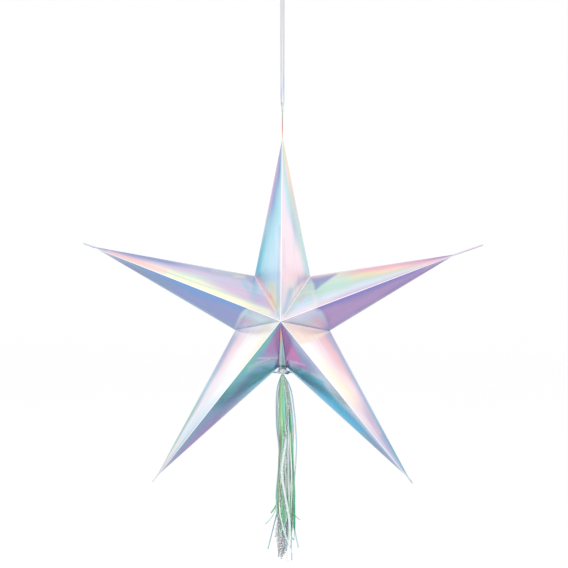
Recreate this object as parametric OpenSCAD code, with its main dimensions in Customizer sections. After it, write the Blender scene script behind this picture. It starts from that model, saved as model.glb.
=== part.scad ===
// Hanging five-point star of folded film card, with a ribbon to hang it and a film tassel.
// Frame: +Z up, the front faces -Y, and the origin is the middle of the loop that takes the hook.

/* [Star] */
// Centre of the star to the end of a tip tab
tip_radius = 316; // [200:1:450]
// Centre of the star to a notch between two arms
notch_radius = 75; // [55:1:110]
// Centre of the star to the peak in the middle of its front
half_depth = 75; // [45:1:110]
// How far above level the two side arms point
side_arm_rise = 19.5; // [17:0.5:21]
// How far below level the two lower arms point
lower_arm_fall = 52.5; // [51:0.5:55]
// How far below level the notches under the side arms lie
side_notch_fall = 19; // [17:0.5:20]
// How much longer than the other arms the two lower arms are
lower_arm_extra = 7; // [0:0.5:12]
// How much nearer to the centre the notches beside the top arm are
upper_notch_inset = 4; // [0:0.5:6]
// How much of a half arm's width is bent round at the notch
notch_bend = 0.03; // [0.02:0.01:0.1]
// How much of a half arm's width is bent round half way along the arm
arm_bend = 0.42; // [0.2:0.01:0.6]

/* [Card] */
// Thickness of the film card
card_t = 0.4; // [0.3:0.1:1]
// Thickness of a tip tab, which is two cards and the glue between them
tab_t = 1.2; // [1:0.1:2]
// Depth of a tip tab, front to back
tab_depth = 14; // [12:1:24]
// Length of the flat tab on the top arm
top_tab_len = 54; // [40:1:80]
// Length of the flat tab on the right arm
right_tab_len = 46; // [10:1:80]
// Length of the flat tab on the two lower arms
lower_tab_len = 12; // [10:1:80]
// Length of the flat tab on the left arm
left_tab_len = 18; // [10:1:80]
// Radius of the hole punched in the top tab
tab_hole_r = 3; // [2.6:0.1:4]
// Upper end of the top tab to the top of its hole
tab_hole_margin = 13; // [6:0.5:20]

/* [Closing flap] */
// Width of the flap over the open seam, at the notch
flap_w = 13; // [6:0.5:18]
// Thickness of the flap
flap_t = 0.4; // [0.3:0.1:0.6]
// Room between the flap's edge and the arm beside it
flap_gap = 0.3; // [0.2:0.05:0.6]

/* [Ribbon] */
// Diameter of one strand of the gathered film ribbon
ribbon_d = 2; // [1.6:0.1:2.4]
// Room between each strand and the side of the tab it hangs through
strand_gap = 0.2; // [0.1:0.05:0.8]
// Underside of the knot to the turn through the tab's hole
ribbon_drop = 178; // [100:1:400]
// Room between the ribbon and the knot above it
ribbon_gap = 0.3; // [0.2:0.05:0.6]

/* [Hanging loop] */
// Inside radius of the loop that takes the hook
loop_r = 9; // [5:0.5:20]
// Width of the loop's strip
loop_w = 2.8; // [2:0.1:6]
// Thickness of the loop's strip
loop_t = 0.9; // [0.5:0.1:1.5]
// Radius of the knot under the loop
ribbon_knot_r = 3.6; // [3:0.1:5]
// Room between the loop and the knot
knot_gap = 0.3; // [0.2:0.05:0.6]

/* [Tie and tassel] */
// Room between the flap's foot and the knot that carries the tassel
tie_gap = 1; // [0.6:0.1:8]
// Radius of the twisted tie
tie_r = 0.9; // [0.6:0.1:1.2]
// Room round the tie in the holes punched for it
tie_hole_gap = 0.7; // [0.4:0.1:1]
// Radius of the knot at each end of the tie
tie_end_r = 2.2; // [1.9:0.1:3]
// How far the tie's end knots lie inside the arms
tie_end_inset = 5; // [4:0.5:9]
// Radius of the knot that carries the tassel
tassel_knot_r = 3; // [2.6:0.1:3.4]
// Room round the tie inside that knot
tassel_bore_gap = 0.25; // [0.15:0.05:0.4]
// Middle of the tassel knot to the ends of the strips
tassel_len = 290; // [150:5:450]
// Middle of the tassel to the middle of a bundle of strips, half way down
bundle_out = 5.2; // [3:0.1:8]
// Middle of the tassel to the middle of a bundle of strips, at their ends
bundle_end_out = 6.6; // [4:0.1:12]
// Room between two bundles, and between them and the knot
bundle_gap = 0.4; // [0.3:0.1:1]

/* [Hidden] */
$fn = 48;

// Heights, from the loop down
knot_z = -(loop_r + loop_t + knot_gap + ribbon_knot_r);
ribbon_top_z = knot_z - ribbon_knot_r - ribbon_gap;
turn_z = knot_z - ribbon_knot_r - ribbon_drop;
hole_z = turn_z + ribbon_d / 2 + ribbon_gap - tab_hole_r;
tab_end_z = hole_z + tab_hole_r + tab_hole_margin;
star_z = tab_end_z - tip_radius;

// Each arm, clockwise from the top: its direction from the star's middle, how far its tip is from
// there, and the length of its flat tab
arm_angles = [90, side_arm_rise, -lower_arm_fall, lower_arm_fall - 180, -180 - side_arm_rise];
lower_radius = tip_radius + lower_arm_extra;
tip_radii = [tip_radius, tip_radius, lower_radius, lower_radius, tip_radius];
tab_lens = [top_tab_len, right_tab_len, lower_tab_len, lower_tab_len, left_tab_len];

// Each notch as [direction, distance from the middle], clockwise from the one left of the top arm.
// Arm i lies between notch i and notch i + 1.
upper_notch = notch_radius - upper_notch_inset;
notches = [[126, upper_notch], [54, upper_notch], [-side_notch_fall, notch_radius],
    [-90, notch_radius], [side_notch_fall - 180, notch_radius], [-234, upper_notch]];

// Rows of points round half an arm: eight steps from the front ridge to the rear ridge
half_steps = 8;
row_len = half_steps + 1;
stations = [0, 0.06, 0.14, 0.26, 0.4, 0.55, 0.7, 0.84, 0.94];
// The hollow ends this far along the arm
hollow_end = 0.965;
// The corners of a tab are cut off by this much
tab_corner = 3;

function mix(a, b, t) = a + (b - a) * t;
function quad(a, b, c, t) = mix(mix(a, b, t), mix(b, c, t), t);

// How much of the half arm's width is bent round, at a share s of the way to the tab. It is most
// near the middle of the arm, and a little of it is left at the tip.
bend_reach = 1.1;
bend_fade = 0.9;
function bend_share(s) = mix(notch_bend, arm_bend, sin(180 * min(1, s * bend_reach) * bend_fade));

// An arm points up from the star's middle and each half is one panel. A panel's three lines run
// from the middle to the tab: the front ridge, the silhouette and the rear ridge. The silhouette
// starts at the notch, given as its angle from the arm and its distance from the middle.
function ridge_at(s, len, face) = [0, face * mix(half_depth, tab_depth / 2, s), s * len];
function edge_at(s, len, notch) =
    [mix(notch[1] * sin(notch[0]), tab_t / 2, s), 0, mix(notch[1] * cos(notch[0]), len, s)];

// A row of points at a share s of the way to the tab. The flat facets run straight from the
// ridges, and the card bends round between them so that it touches the silhouette.
function outer_row(s, len, notch) =
    let (front = ridge_at(s, len, -1), rear = ridge_at(s, len, 1), q = bend_share(s))
    let (mid = (front + rear) / 2, corner = mid + (edge_at(s, len, notch) - mid) / (1 - q / 2))
    let (start = mix(corner, front, q), end = mix(corner, rear, q))
    [for (j = [0 : half_steps])
        j == 0 ? front : j == half_steps ? rear : quad(start, corner, end, (j - 1) / (half_steps - 2))];

// The inside of the card: the row drawn in towards the arm's middle line by the card's thickness
function inner_row(s, len, notch) =
    let (w = edge_at(s, len, notch)[0], d = ridge_at(s, len, 1)[1], mid = [0, 0, s * len])
    let (k = 1 - card_t * sqrt(w * w + d * d) / (w * d))
    [for (p = outer_row(s, len, notch)) mid + (p - mid) * k];

// A row round half of the flat tab, at a height z and with a half depth h
function tab_row(z, h) = [for (j = [0 : half_steps])
    [(j == 0 || j == half_steps) ? 0 : tab_t / 2, -h * cos(180 * j / half_steps), z]];

// Triangles between row a and row b of a list of rows, and the four-cornered strip between the
// points at step j of two pairs of rows
function tri_pair(p, q, r, t) = [[p, q, r], [p, r, t]];
function band(a, b) = [for (j = [0 : half_steps - 1]) let (p = a * row_len + j, q = b * row_len + j)
    each tri_pair(p, q, q + 1, p + 1)];
function rim(outer, inner, j) =
    tri_pair(outer * row_len + j, inner * row_len + j, (inner + 1) * row_len + j, (outer + 1) * row_len + j);
function flip(faces) = [for (f = faces) [f[0], f[2], f[1]]];

// One panel, the right half of an arm that points up from the star's middle. It meets the other
// half in the plane between them, at both ridges and over the whole tab.
module panel(tip, tab_len, notch) {
    len = tip - tab_len;
    n = len(stations);
    rows = concat([for (s = stations) outer_row(s, len, notch)],
        [tab_row(len, tab_depth / 2), tab_row(tip - tab_corner, tab_depth / 2),
            tab_row(tip, tab_depth / 2 - tab_corner)],
        [for (s = stations) inner_row(s, len, notch)]);
    tab_end = n + 2;
    hollow = n + 3;
    hollow_last = hollow + n - 1;
    apex = len(rows) * row_len;
    points = concat([for (row = rows) each row], [[0, 0, hollow_end * len]]);
    skins = concat([for (a = [0 : tab_end - 1]) each band(a, a + 1)],
        flip([for (a = [hollow : hollow_last - 1]) each band(a, a + 1)]),
        flip([for (j = [0 : half_steps - 1])
            [hollow_last * row_len + j, apex, hollow_last * row_len + j + 1]]),
        flip(band(0, hollow)));
    ridge_faces = concat([for (a = [0 : n - 2]) each rim(a, hollow + a, 0)],
        flip([for (a = [0 : n - 2]) each rim(a, hollow + a, half_steps)]));
    front = [hollow_last * row_len, (n - 1) * row_len, n * row_len];
    middle_faces = concat(
        [[apex, front[1], front[0]], [apex, front[2], front[1]], [apex, front[2] + half_steps, front[2]],
            [apex, front[1] + half_steps, front[2] + half_steps],
            [apex, front[0] + half_steps, front[1] + half_steps]],
        [for (a = [n : tab_end - 1]) each tri_pair(a * row_len, a * row_len + half_steps,
            (a + 1) * row_len + half_steps, (a + 1) * row_len)]);
    end_faces = [for (j = [1 : half_steps - 1])
        [tab_end * row_len, tab_end * row_len + j + 1, tab_end * row_len + j]];
    polyhedron(points = points, convexity = 6,
        faces = concat(skins, ridge_faces, middle_faces, end_faces));
}

// Arm i's panel: side is 1 for the one clockwise of its ridges, seen from the front, or -1
module arm_panel(i, side) {
    beside = notches[side > 0 ? i + 1 : i];
    notch = [side * (arm_angles[i] - beside[0]), beside[1]];
    translate([0, 0, star_z]) rotate([0, 90 - arm_angles[i], 0])
        mirror([side > 0 ? 0 : 1, 0, 0]) panel(tip_radii[i], tab_lens[i], notch);
}

// Round tube along a list of points: eight sides, one radius for each point. Each ring faces
// along the route, and up_dir is a direction that the route never follows.
tube_sides = 8;
function unit(v) = v / norm(v);
function heading(route, i) =
    unit(route[min(i + 1, len(route) - 1)] - route[max(i - 1, 0)]);
function tube_ring(route, radii, i, up_dir) =
    let (t = heading(route, i), u = unit(cross(t, up_dir)), v = cross(t, u))
    [for (k = [0 : tube_sides - 1]) let (a = 360 * (k + 0.5) / tube_sides)
        route[i] + radii[i] * (cos(a) * u + sin(a) * v)];
module tube(route, radii, up_dir) {
    rings = len(route);
    points = [for (i = [0 : rings - 1]) each tube_ring(route, radii, i, up_dir)];
    sides = [for (i = [0 : rings - 2], k = [0 : tube_sides - 1], half = [0, 1])
        let (n = (k + 1) % tube_sides, a = i * tube_sides, b = a + tube_sides)
        half == 0 ? [a + k, a + n, b + n] : [a + k, b + n, b + k]];
    first_end = [for (k = [1 : tube_sides - 2]) [0, k + 1, k]];
    last = (rings - 1) * tube_sides;
    last_end = [for (k = [1 : tube_sides - 2]) [last, last + k, last + k + 1]];
    polyhedron(points = points, faces = concat(sides, first_end, last_end), convexity = 6);
}

// The ribbon's route, as [across, up] from its turn through the tab's hole: down the left
// strand, through the hole and up the right one. The straight runs are shares of the whole drop.
turn_route = [[-1, 1.7], [-0.92, 1.1], [-0.75, 0.6], [-0.5, 0.2], [-0.25, 0], [0, 0]];
strand_shares = [1, 0.92, 0.84, 0.76, 0.68, 0.6, 0.52, 0.44, 0.36, 0.28, 0.2, 0.13, 0.07, 0.03];
strand_x = tab_t / 2 + strand_gap + ribbon_d / 2;
top_drop = ribbon_top_z - turn_z;
left_strand = concat([for (share = strand_shares) [-strand_x, share * top_drop]],
    [for (p = turn_route) [p[0] * strand_x, p[1]]]);
left_n = len(left_strand);
ribbon_route = concat(
    [for (p = left_strand) [p[0], 0, turn_z + p[1]]],
    [for (i = [2 : left_n]) let (p = left_strand[left_n - i]) [-p[0], 0, turn_z + p[1]]]);

module hanging_loop() {
    color([0.9, 0.93, 0.96]) rotate([90, 0, 0]) rotate_extrude($fn = 72)
        translate([loop_r, -loop_w / 2]) square([loop_t, loop_w]);
}

module ribbon_knot() {
    color([0.88, 0.91, 0.95]) translate([0, 0, knot_z]) sphere(r = ribbon_knot_r);
}

module hanging_ribbon() {
    color([0.86, 0.9, 0.95]) tube(ribbon_route, [for (p = ribbon_route) ribbon_d / 2], [0, 1, 0]);
}

// The top tab is punched for the ribbon, through both panels
module punched_top_panel(side) {
    difference() {
        arm_panel(0, side);
        translate([0, 0, hole_z]) rotate([0, 90, 0])
            cylinder(r = tab_hole_r, h = 4 * tab_t, center = true);
    }
}

// The two panels beside the lower notch are punched for the tie
module punched_lower_panel(i, side) {
    difference() {
        arm_panel(i, side);
        translate([0, 0, tie_z]) rotate([0, 90, 0])
            cylinder(r = tie_r + tie_hole_gap, h = 2 * (tie_end_x + tie_end_r), center = true);
    }
}

module top_arm_left() {
    color([0.74, 0.86, 0.95]) punched_top_panel(-1);
}

module top_arm_right() {
    color([0.95, 0.88, 0.94]) punched_top_panel(1);
}

module right_arm_upper() {
    color([0.84, 0.84, 0.9]) arm_panel(1, -1);
}

module right_arm_lower() {
    color([0.61, 0.55, 0.74]) arm_panel(1, 1);
}

module lower_right_arm_outer() {
    color([0.95, 0.88, 0.89]) arm_panel(2, -1);
}

module lower_right_arm_inner() {
    color([0.48, 0.65, 0.78]) punched_lower_panel(2, 1);
}

module lower_left_arm_inner() {
    color([0.51, 0.6, 0.71]) punched_lower_panel(3, -1);
}

module lower_left_arm_outer() {
    color([0.93, 0.95, 0.97]) arm_panel(3, 1);
}

module left_arm_lower() {
    color([0.55, 0.62, 0.78]) arm_panel(4, -1);
}

module left_arm_upper() {
    color([0.85, 0.8, 0.89]) arm_panel(4, 1);
}

// The silhouettes of the two lower arms leave the notch at this slope: across for one down
lower_len = lower_radius - lower_tab_len;
lower_tip_x = lower_len * cos(lower_arm_fall);
lower_tip_drop = lower_len * sin(lower_arm_fall) - notch_radius;
edge_slope = lower_tip_x / lower_tip_drop;

// The flap lies in the groove of the open seam: a wedge from the front peak round the notch to
// the rear peak. It lies as far down the groove as the panels bulge, clear of them by flap_gap.
flap_bulge = notch_radius * (1 / (1 - bend_share(flap_w / 2 / lower_tip_x) / 2) - 1);
flap_drop = flap_w / 2 / edge_slope + flap_bulge + flap_gap;
// The flap's narrow top starts this share of the way down the groove
flap_top = 0.12;
flap_foot_t = flap_t * norm([notch_radius + flap_drop, half_depth]) / half_depth;
module flap_half(face) {
    peak = [0, face * half_depth, star_z];
    foot = [0, 0, star_z - notch_radius - flap_drop];
    top = mix(peak, foot, flap_top);
    out = unit([0, face * (notch_radius + flap_drop), -half_depth]) * flap_t;
    x_top = flap_top * flap_w / 2 - flap_gap;
    x_foot = flap_w / 2 - flap_gap;
    foot_out = [0, 0, -flap_foot_t];
    inner = [[-x_top, 0, 0] + top, [x_top, 0, 0] + top, [x_foot, 0, 0] + foot, [-x_foot, 0, 0] + foot];
    points = concat(inner, [inner[0] + out, inner[1] + out, inner[2] + foot_out, inner[3] + foot_out]);
    faces = [[0, 1, 2, 3], [7, 6, 5, 4], [0, 4, 5, 1], [1, 5, 6, 2], [2, 6, 7, 3], [3, 7, 4, 0]];
    polyhedron(points = points, faces = face > 0 ? faces : [for (f = faces) [f[3], f[2], f[1], f[0]]]);
}

module closing_flap() {
    color([0.7, 0.75, 0.8]) union() {
        flap_half(-1);
        flap_half(1);
    }
}

// The tie crosses below the flap's foot, low enough for the knot that carries the tassel
tie_drop = flap_drop + flap_foot_t + tie_gap + tassel_knot_r;
tie_z = star_z - notch_radius - tie_drop;
tie_end_x = tie_drop * edge_slope + tie_end_inset;

// A twisted strip of film through both punched holes, with a knot inside each arm
module tie() {
    color([0.75, 0.9, 0.95]) translate([0, 0, tie_z]) union() {
        rotate([0, 90, 0]) cylinder(r = tie_r, h = 2 * tie_end_x, center = true);
        for (side = [-1, 1]) translate([side * tie_end_x, 0, 0]) sphere(r = tie_end_r);
    }
}

module tassel_knot() {
    color([0.7, 0.88, 0.92]) translate([0, 0, tie_z]) difference() {
        sphere(r = tassel_knot_r);
        rotate([0, 90, 0]) cylinder(r = tie_r + tassel_bore_gap, h = 3 * tassel_knot_r, center = true);
    }
}

// The tassel hangs as four bundles of film strips round its middle line. Rows are shares of the
// way down, and the share of the full spread that a bundle has there.
end_row_share = 1.27;
bundle_rows = [[0, 0.3], [0.03, 0.42], [0.08, 0.6], [0.15, 0.8], [0.25, 0.97], [0.4, 1],
    [0.55, 1], [0.7, 1], [0.82, 1.03], [0.92, 1.15], [1, end_row_share]];
module bundle(x_side, y_side) {
    top_z = tie_z - tassel_knot_r - bundle_gap;
    drop = tassel_len - tassel_knot_r - bundle_gap;
    end_share = bundle_end_out / bundle_out;
    spreads = [for (r = bundle_rows) r[1] <= 1 ? r[1] * bundle_out
        : bundle_out * mix(1, end_share, (r[1] - 1) / (end_row_share - 1))];
    route = [for (i = [0 : len(bundle_rows) - 1])
        [x_side * spreads[i], y_side * spreads[i], top_z - drop * bundle_rows[i][0]]];
    tube(route, [for (s = spreads) s - bundle_gap / 2], [0, 1, 0]);
}

module green_strips() {
    color([0.45, 0.85, 0.6]) bundle(-1, -1);
}

module mint_strips() {
    color([0.72, 0.94, 0.8]) bundle(1, -1);
}

module clear_strips() {
    color([0.75, 0.9, 0.97]) bundle(1, 1);
}

module silver_strips() {
    color([0.66, 0.68, 0.72]) bundle(-1, 1);
}

hanging_loop();
ribbon_knot();
hanging_ribbon();
top_arm_left();
top_arm_right();
right_arm_upper();
right_arm_lower();
lower_right_arm_outer();
lower_right_arm_inner();
lower_left_arm_inner();
lower_left_arm_outer();
left_arm_lower();
left_arm_upper();
closing_flap();
tie();
tassel_knot();
green_strips();
mint_strips();
clear_strips();
silver_strips();
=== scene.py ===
# %% [markdown]
# # A hanging film star
#
# This lesson builds the looks of a hollow five-pointed star of iridescent film card. It hangs from a
# doubled film ribbon, and a tassel of loose film strips is tied at its lower notch. The CAD model
# fixes every size and place. Here each plain solid gets the surface that the real piece has.
#
# The parts come in a working order: camera, stage and light, then small helpers that turn numpy
# grids into meshes, then the materials, then the pieces from the ceiling loop down to the tassel.

# %% Load the frame
import math

import bpy
import numpy as np
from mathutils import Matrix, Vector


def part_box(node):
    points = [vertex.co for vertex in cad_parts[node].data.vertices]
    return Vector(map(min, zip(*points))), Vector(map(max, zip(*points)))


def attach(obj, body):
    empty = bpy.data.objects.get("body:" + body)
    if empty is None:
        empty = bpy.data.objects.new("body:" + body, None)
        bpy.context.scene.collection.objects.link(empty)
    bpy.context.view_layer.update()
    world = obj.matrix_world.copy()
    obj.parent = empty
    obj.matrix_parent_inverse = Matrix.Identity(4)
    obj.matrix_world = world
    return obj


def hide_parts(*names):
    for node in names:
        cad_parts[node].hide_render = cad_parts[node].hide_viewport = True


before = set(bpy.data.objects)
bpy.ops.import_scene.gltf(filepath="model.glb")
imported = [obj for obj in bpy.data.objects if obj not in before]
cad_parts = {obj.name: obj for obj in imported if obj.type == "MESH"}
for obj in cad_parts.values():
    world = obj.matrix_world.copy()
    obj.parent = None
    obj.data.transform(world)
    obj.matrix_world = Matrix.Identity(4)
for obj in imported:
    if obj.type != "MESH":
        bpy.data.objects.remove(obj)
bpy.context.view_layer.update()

# %% [markdown]
# ## Sizes
#
# The star's driving sizes are the CAD model's own, in metres. The heights come from the packed
# nodes, so the pieces land where the design puts them.

# %% Sizes of the star
TIP_RADIUS = 0.316
LOWER_ARM_EXTRA = 0.007
NOTCH_RADIUS = 0.075
UPPER_NOTCH_INSET = 0.004
TAB_T = 0.0012
TAB_DEPTH = 0.014
TAB_CORNER = 0.003
CARD_T = 0.0004
NOTCH_BEND = 0.03
ARM_BEND = 0.42

top_low, top_high = (np.array(corner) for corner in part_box("top_arm_right"))
HALF_DEPTH = (top_high[1] - top_low[1]) / 2
STAR_Z = top_high[2] - TIP_RADIUS
tie_low, tie_high = (np.array(corner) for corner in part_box("tie"))
TIE_Z = (tie_low[2] + tie_high[2]) / 2
print("star centre at z =", round(STAR_Z, 4), "tie at z =", round(TIE_Z, 4))

# %% [markdown]
# ## Camera, stage and light
#
# The star is looked at almost square on, from a little above and a little to its right, with a long
# lens so that its arms aren't stretched. The stage is a pale floor that sweeps up into a back wall,
# as in a product studio, and the light is an even white sky with two large soft panels.

# %% Camera
VIEW_WIDTH = 0.8477
VIEW_DISTANCE = 3.2
VIEW_ELEVATION = math.radians(7.0)
VIEW_AZIMUTH = math.radians(2.2)
AIM = np.array([0.0022, 0.0, STAR_Z + 0.0455])

camera_data = bpy.data.cameras.new("camera")
camera_data.sensor_width = 36.0
camera_data.lens = 36.0 * VIEW_DISTANCE / VIEW_WIDTH
camera_data.clip_end = 50.0
camera = bpy.data.objects.new("camera", camera_data)
bpy.context.collection.objects.link(camera)
towards_camera = np.array([math.sin(VIEW_AZIMUTH) * math.cos(VIEW_ELEVATION),
                           -math.cos(VIEW_AZIMUTH) * math.cos(VIEW_ELEVATION),
                           math.sin(VIEW_ELEVATION)])
camera.location = AIM + VIEW_DISTANCE * towards_camera
camera.rotation_euler = (math.pi / 2 - VIEW_ELEVATION, 0.0, VIEW_AZIMUTH)
bpy.context.scene.camera = camera
bpy.context.scene.view_settings.view_transform = "Standard"
print("lens", round(camera_data.lens, 1), "mm")


# %% Grids into meshes
def grid_faces(rows, cols, close_cols=False, flip=False):
    """Quads between neighbours of a rows x cols grid of points, as an array of four indices each.
    close_cols joins the last column to the first, and flip turns the faces over."""
    r, c = np.meshgrid(np.arange(rows - 1), np.arange(cols if close_cols else cols - 1), indexing="ij")
    a = r * cols + c
    b = r * cols + (c + 1) % cols
    quads = np.stack([a, b, b + cols, a + cols], axis=-1).reshape(-1, 4)
    return quads[:, ::-1] if flip else quads


def make_piece(name, points, faces, material, smooth=True):
    """A mesh object at the origin from arrays of points and of four-cornered faces. A face that
    names one corner twice in a row becomes a triangle."""
    points = np.asarray(points, dtype=np.float64).reshape(-1, 3)
    faces = np.asarray(faces, dtype=np.int32).reshape(-1, 4)
    own_corner = faces != np.roll(faces, 1, axis=1)
    corners = faces[own_corner]
    mesh = bpy.data.meshes.new(name)
    mesh.vertices.add(len(points))
    mesh.vertices.foreach_set("co", points.ravel())
    mesh.loops.add(len(corners))
    mesh.loops.foreach_set("vertex_index", corners)
    mesh.polygons.add(len(faces))
    ends = np.cumsum(own_corner.sum(axis=1))
    mesh.polygons.foreach_set("loop_start", np.concatenate([[0], ends[:-1]]).astype(np.int32))
    mesh.polygons.foreach_set("use_smooth", np.full(len(faces), smooth))
    mesh.update(calc_edges=True)
    mesh.validate()
    piece = bpy.data.objects.new(name, mesh)
    bpy.context.collection.objects.link(piece)
    for one in material if isinstance(material, (list, tuple)) else [material]:
        mesh.materials.append(one)
    return piece


def paint(piece, layer, colours):
    """Stores one linear colour, RGB or RGBA, for each point of the piece, under the layer's name."""
    rgba = np.ones((len(colours), 4))
    rgba[:, :colours.shape[1]] = colours
    attribute = piece.data.color_attributes.new(layer, "FLOAT_COLOR", "POINT")
    attribute.data.foreach_set("color", rgba.ravel())


def smoothstep(low, high, x):
    """0 below low, 1 above high, and a smooth S between them."""
    t = np.clip((x - low) / (high - low), 0.0, 1.0)
    return t * t * (3.0 - 2.0 * t)


def linear(colour):
    """A display colour as linear light, which is what Blender's materials work in."""
    c = np.asarray(colour, dtype=np.float64)
    return np.where(c <= 0.04045, c / 12.92, ((c + 0.055) / 1.055) ** 2.4)


# %% Stage
FLOOR_BELOW_STAR = 0.85
STAGE_HALF = 7.0
WALL_TOP = 5.0
SWEEP_START = 4.8
SWEEP_RADIUS = 1.2


def sweep_profile():
    """Floor, quarter round and wall, as depth and height: straight, an arc, straight. The wall
    stands well back, so that the star can be walked round inside it."""
    arc = np.linspace(-math.pi / 2, 0, 24)
    arc_depth = SWEEP_START + SWEEP_RADIUS * np.cos(arc)
    depth = np.concatenate([[-STAGE_HALF], arc_depth, [SWEEP_START + SWEEP_RADIUS]])
    height = np.concatenate([[0.0], SWEEP_RADIUS + SWEEP_RADIUS * np.sin(arc), [WALL_TOP]])
    return depth, STAR_Z - FLOOR_BELOW_STAR + height


def stage_material():
    """Matt white paint with a trace of blue."""
    material = bpy.data.materials.new("pale_stage")
    material.use_nodes = True
    shader = material.node_tree.nodes["Principled BSDF"]
    shader.inputs["Base Color"].default_value = (0.97, 0.97, 0.975, 1)
    shader.inputs["Roughness"].default_value = 0.9
    shader.inputs["Specular IOR Level"].default_value = 0.1
    return material


stage_depth, stage_height = sweep_profile()
stage_sides = np.array([-STAGE_HALF, STAGE_HALF])
stage_points = np.stack([np.broadcast_to(stage_sides[:, None], (2, len(stage_depth))),
                         np.broadcast_to(stage_depth, (2, len(stage_depth))),
                         np.broadcast_to(stage_height, (2, len(stage_depth)))], axis=-1)
stage = make_piece("stage_sweep", stage_points, grid_faces(2, len(stage_depth)), stage_material())
print("stage floor at z =", round(stage_height.min(), 3))


# %% Light
def soft_panel(name, place, size, power):
    """A large square lamp that faces the middle of the star."""
    data = bpy.data.lights.new(name, "AREA")
    data.shape = "SQUARE"
    data.size = size
    data.energy = power
    lamp = bpy.data.objects.new(name, data)
    lamp.location = place
    aim = np.array([0.0, 0.0, STAR_Z]) - np.array(place)
    lamp.rotation_euler = (math.atan2(math.hypot(aim[0], aim[1]), -aim[2]), 0.0,
                           math.atan2(aim[1], aim[0]) - math.pi / 2)
    bpy.context.collection.objects.link(lamp)


world = bpy.data.worlds.new("white_studio")
world.use_nodes = True
world.node_tree.nodes["Background"].inputs["Color"].default_value = (1.0, 1.0, 1.0, 1.0)
world.node_tree.nodes["Background"].inputs["Strength"].default_value = 1.02
bpy.context.scene.world = world
soft_panel("panel_above", (-0.9, -1.4, STAR_Z + 1.9), 1.6, 12.0)
soft_panel("panel_right", (1.9, -1.2, STAR_Z + 0.3), 1.4, 6.0)

# %% [markdown]
# ## The colours of iridescent film
#
# The card is covered with a clear film that splits light, so one flat facet runs through several
# pastel colours. Real thin-film colour comes from layers thinner than light's wavelength. Blender can
# model that, but an exported model can't carry it. So the colours are painted from a small palette of
# named shades, on a coarse table for each facet, and a smooth mix between the table's places gives
# the flow of colour. A little warp keeps the bands from running straight. The tables hold painted
# light as well as the film's colour. Facets that face down and left are painted darker, as painted
# shade. Facets that face up and right are painted pale, as painted highlight. The colours that the
# film shows from the front are painted on as fixed colour.

# %% Palette
PALETTE = {
    "white": "fefefe", "pearl": "f2ecf3", "ice": "daeaf7", "sky": "c8e9fa", "aqua": "b0e0ee",
    "lagoon": "a6d1e1", "glacier": "95c0db", "fog": "bddbe6", "haze": "b8cde2", "harbour": "96b8d6",
    "dusk": "a3b4d4", "lilac": "cecbe3", "iris": "afb3d1", "mint": "c4e4d8", "celery": "d0e7de",
    "sage": "cbdad8", "sand": "dedfd0", "straw": "ebe3b7", "lemon": "fefbdb", "cream": "fbf6e4",
    "peach": "fde9de", "apricot": "fcd9cc", "blush": "fce8f0", "petal": "f6dfe8", "pink": "f4c8d0",
    "rose": "e9b4c6", "orchid": "cda8cc", "heather": "d9c6e0", "mauve": "a58bb9",
    "violet": "9486b6", "grape": "8674a4", "plum": "ac7ab4", "magenta": "cb6fa9", "peri": "8894c5",
    "steel": "8298ba", "slate": "7d90b1", "denim": "7197b9", "cyan": "5db4cf", "teal": "6da8bf",
    "jade": "6fb3b3", "silver": "c3c9d4", "ember": "f8a080", "cobalt": "8fb0dc", "smoke": "9db4bb",
    "royal": "8379bd", "cornflower": "7398cf", "lime": "eaf2cc", "sage_teal": "8fc0b8",
    "plum_grey": "a67db0", "wedge_blue": "8a93c6", "brick": "c4695c", "moss": "8fb898",
    "paper_grey": "d4d4d8", "azure": "4fb0dc", "frost_strip": "eefafd", "edge_blue": "b9c6e0",
}


def from_code(code):
    """A six-letter colour code as display red, green and blue from 0 to 1."""
    return np.array([int(code[i:i + 2], 16) / 255 for i in (0, 2, 4)])


def shade(name):
    """The named shade of the palette, as red, green and blue."""
    return from_code(PALETTE[name])
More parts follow.
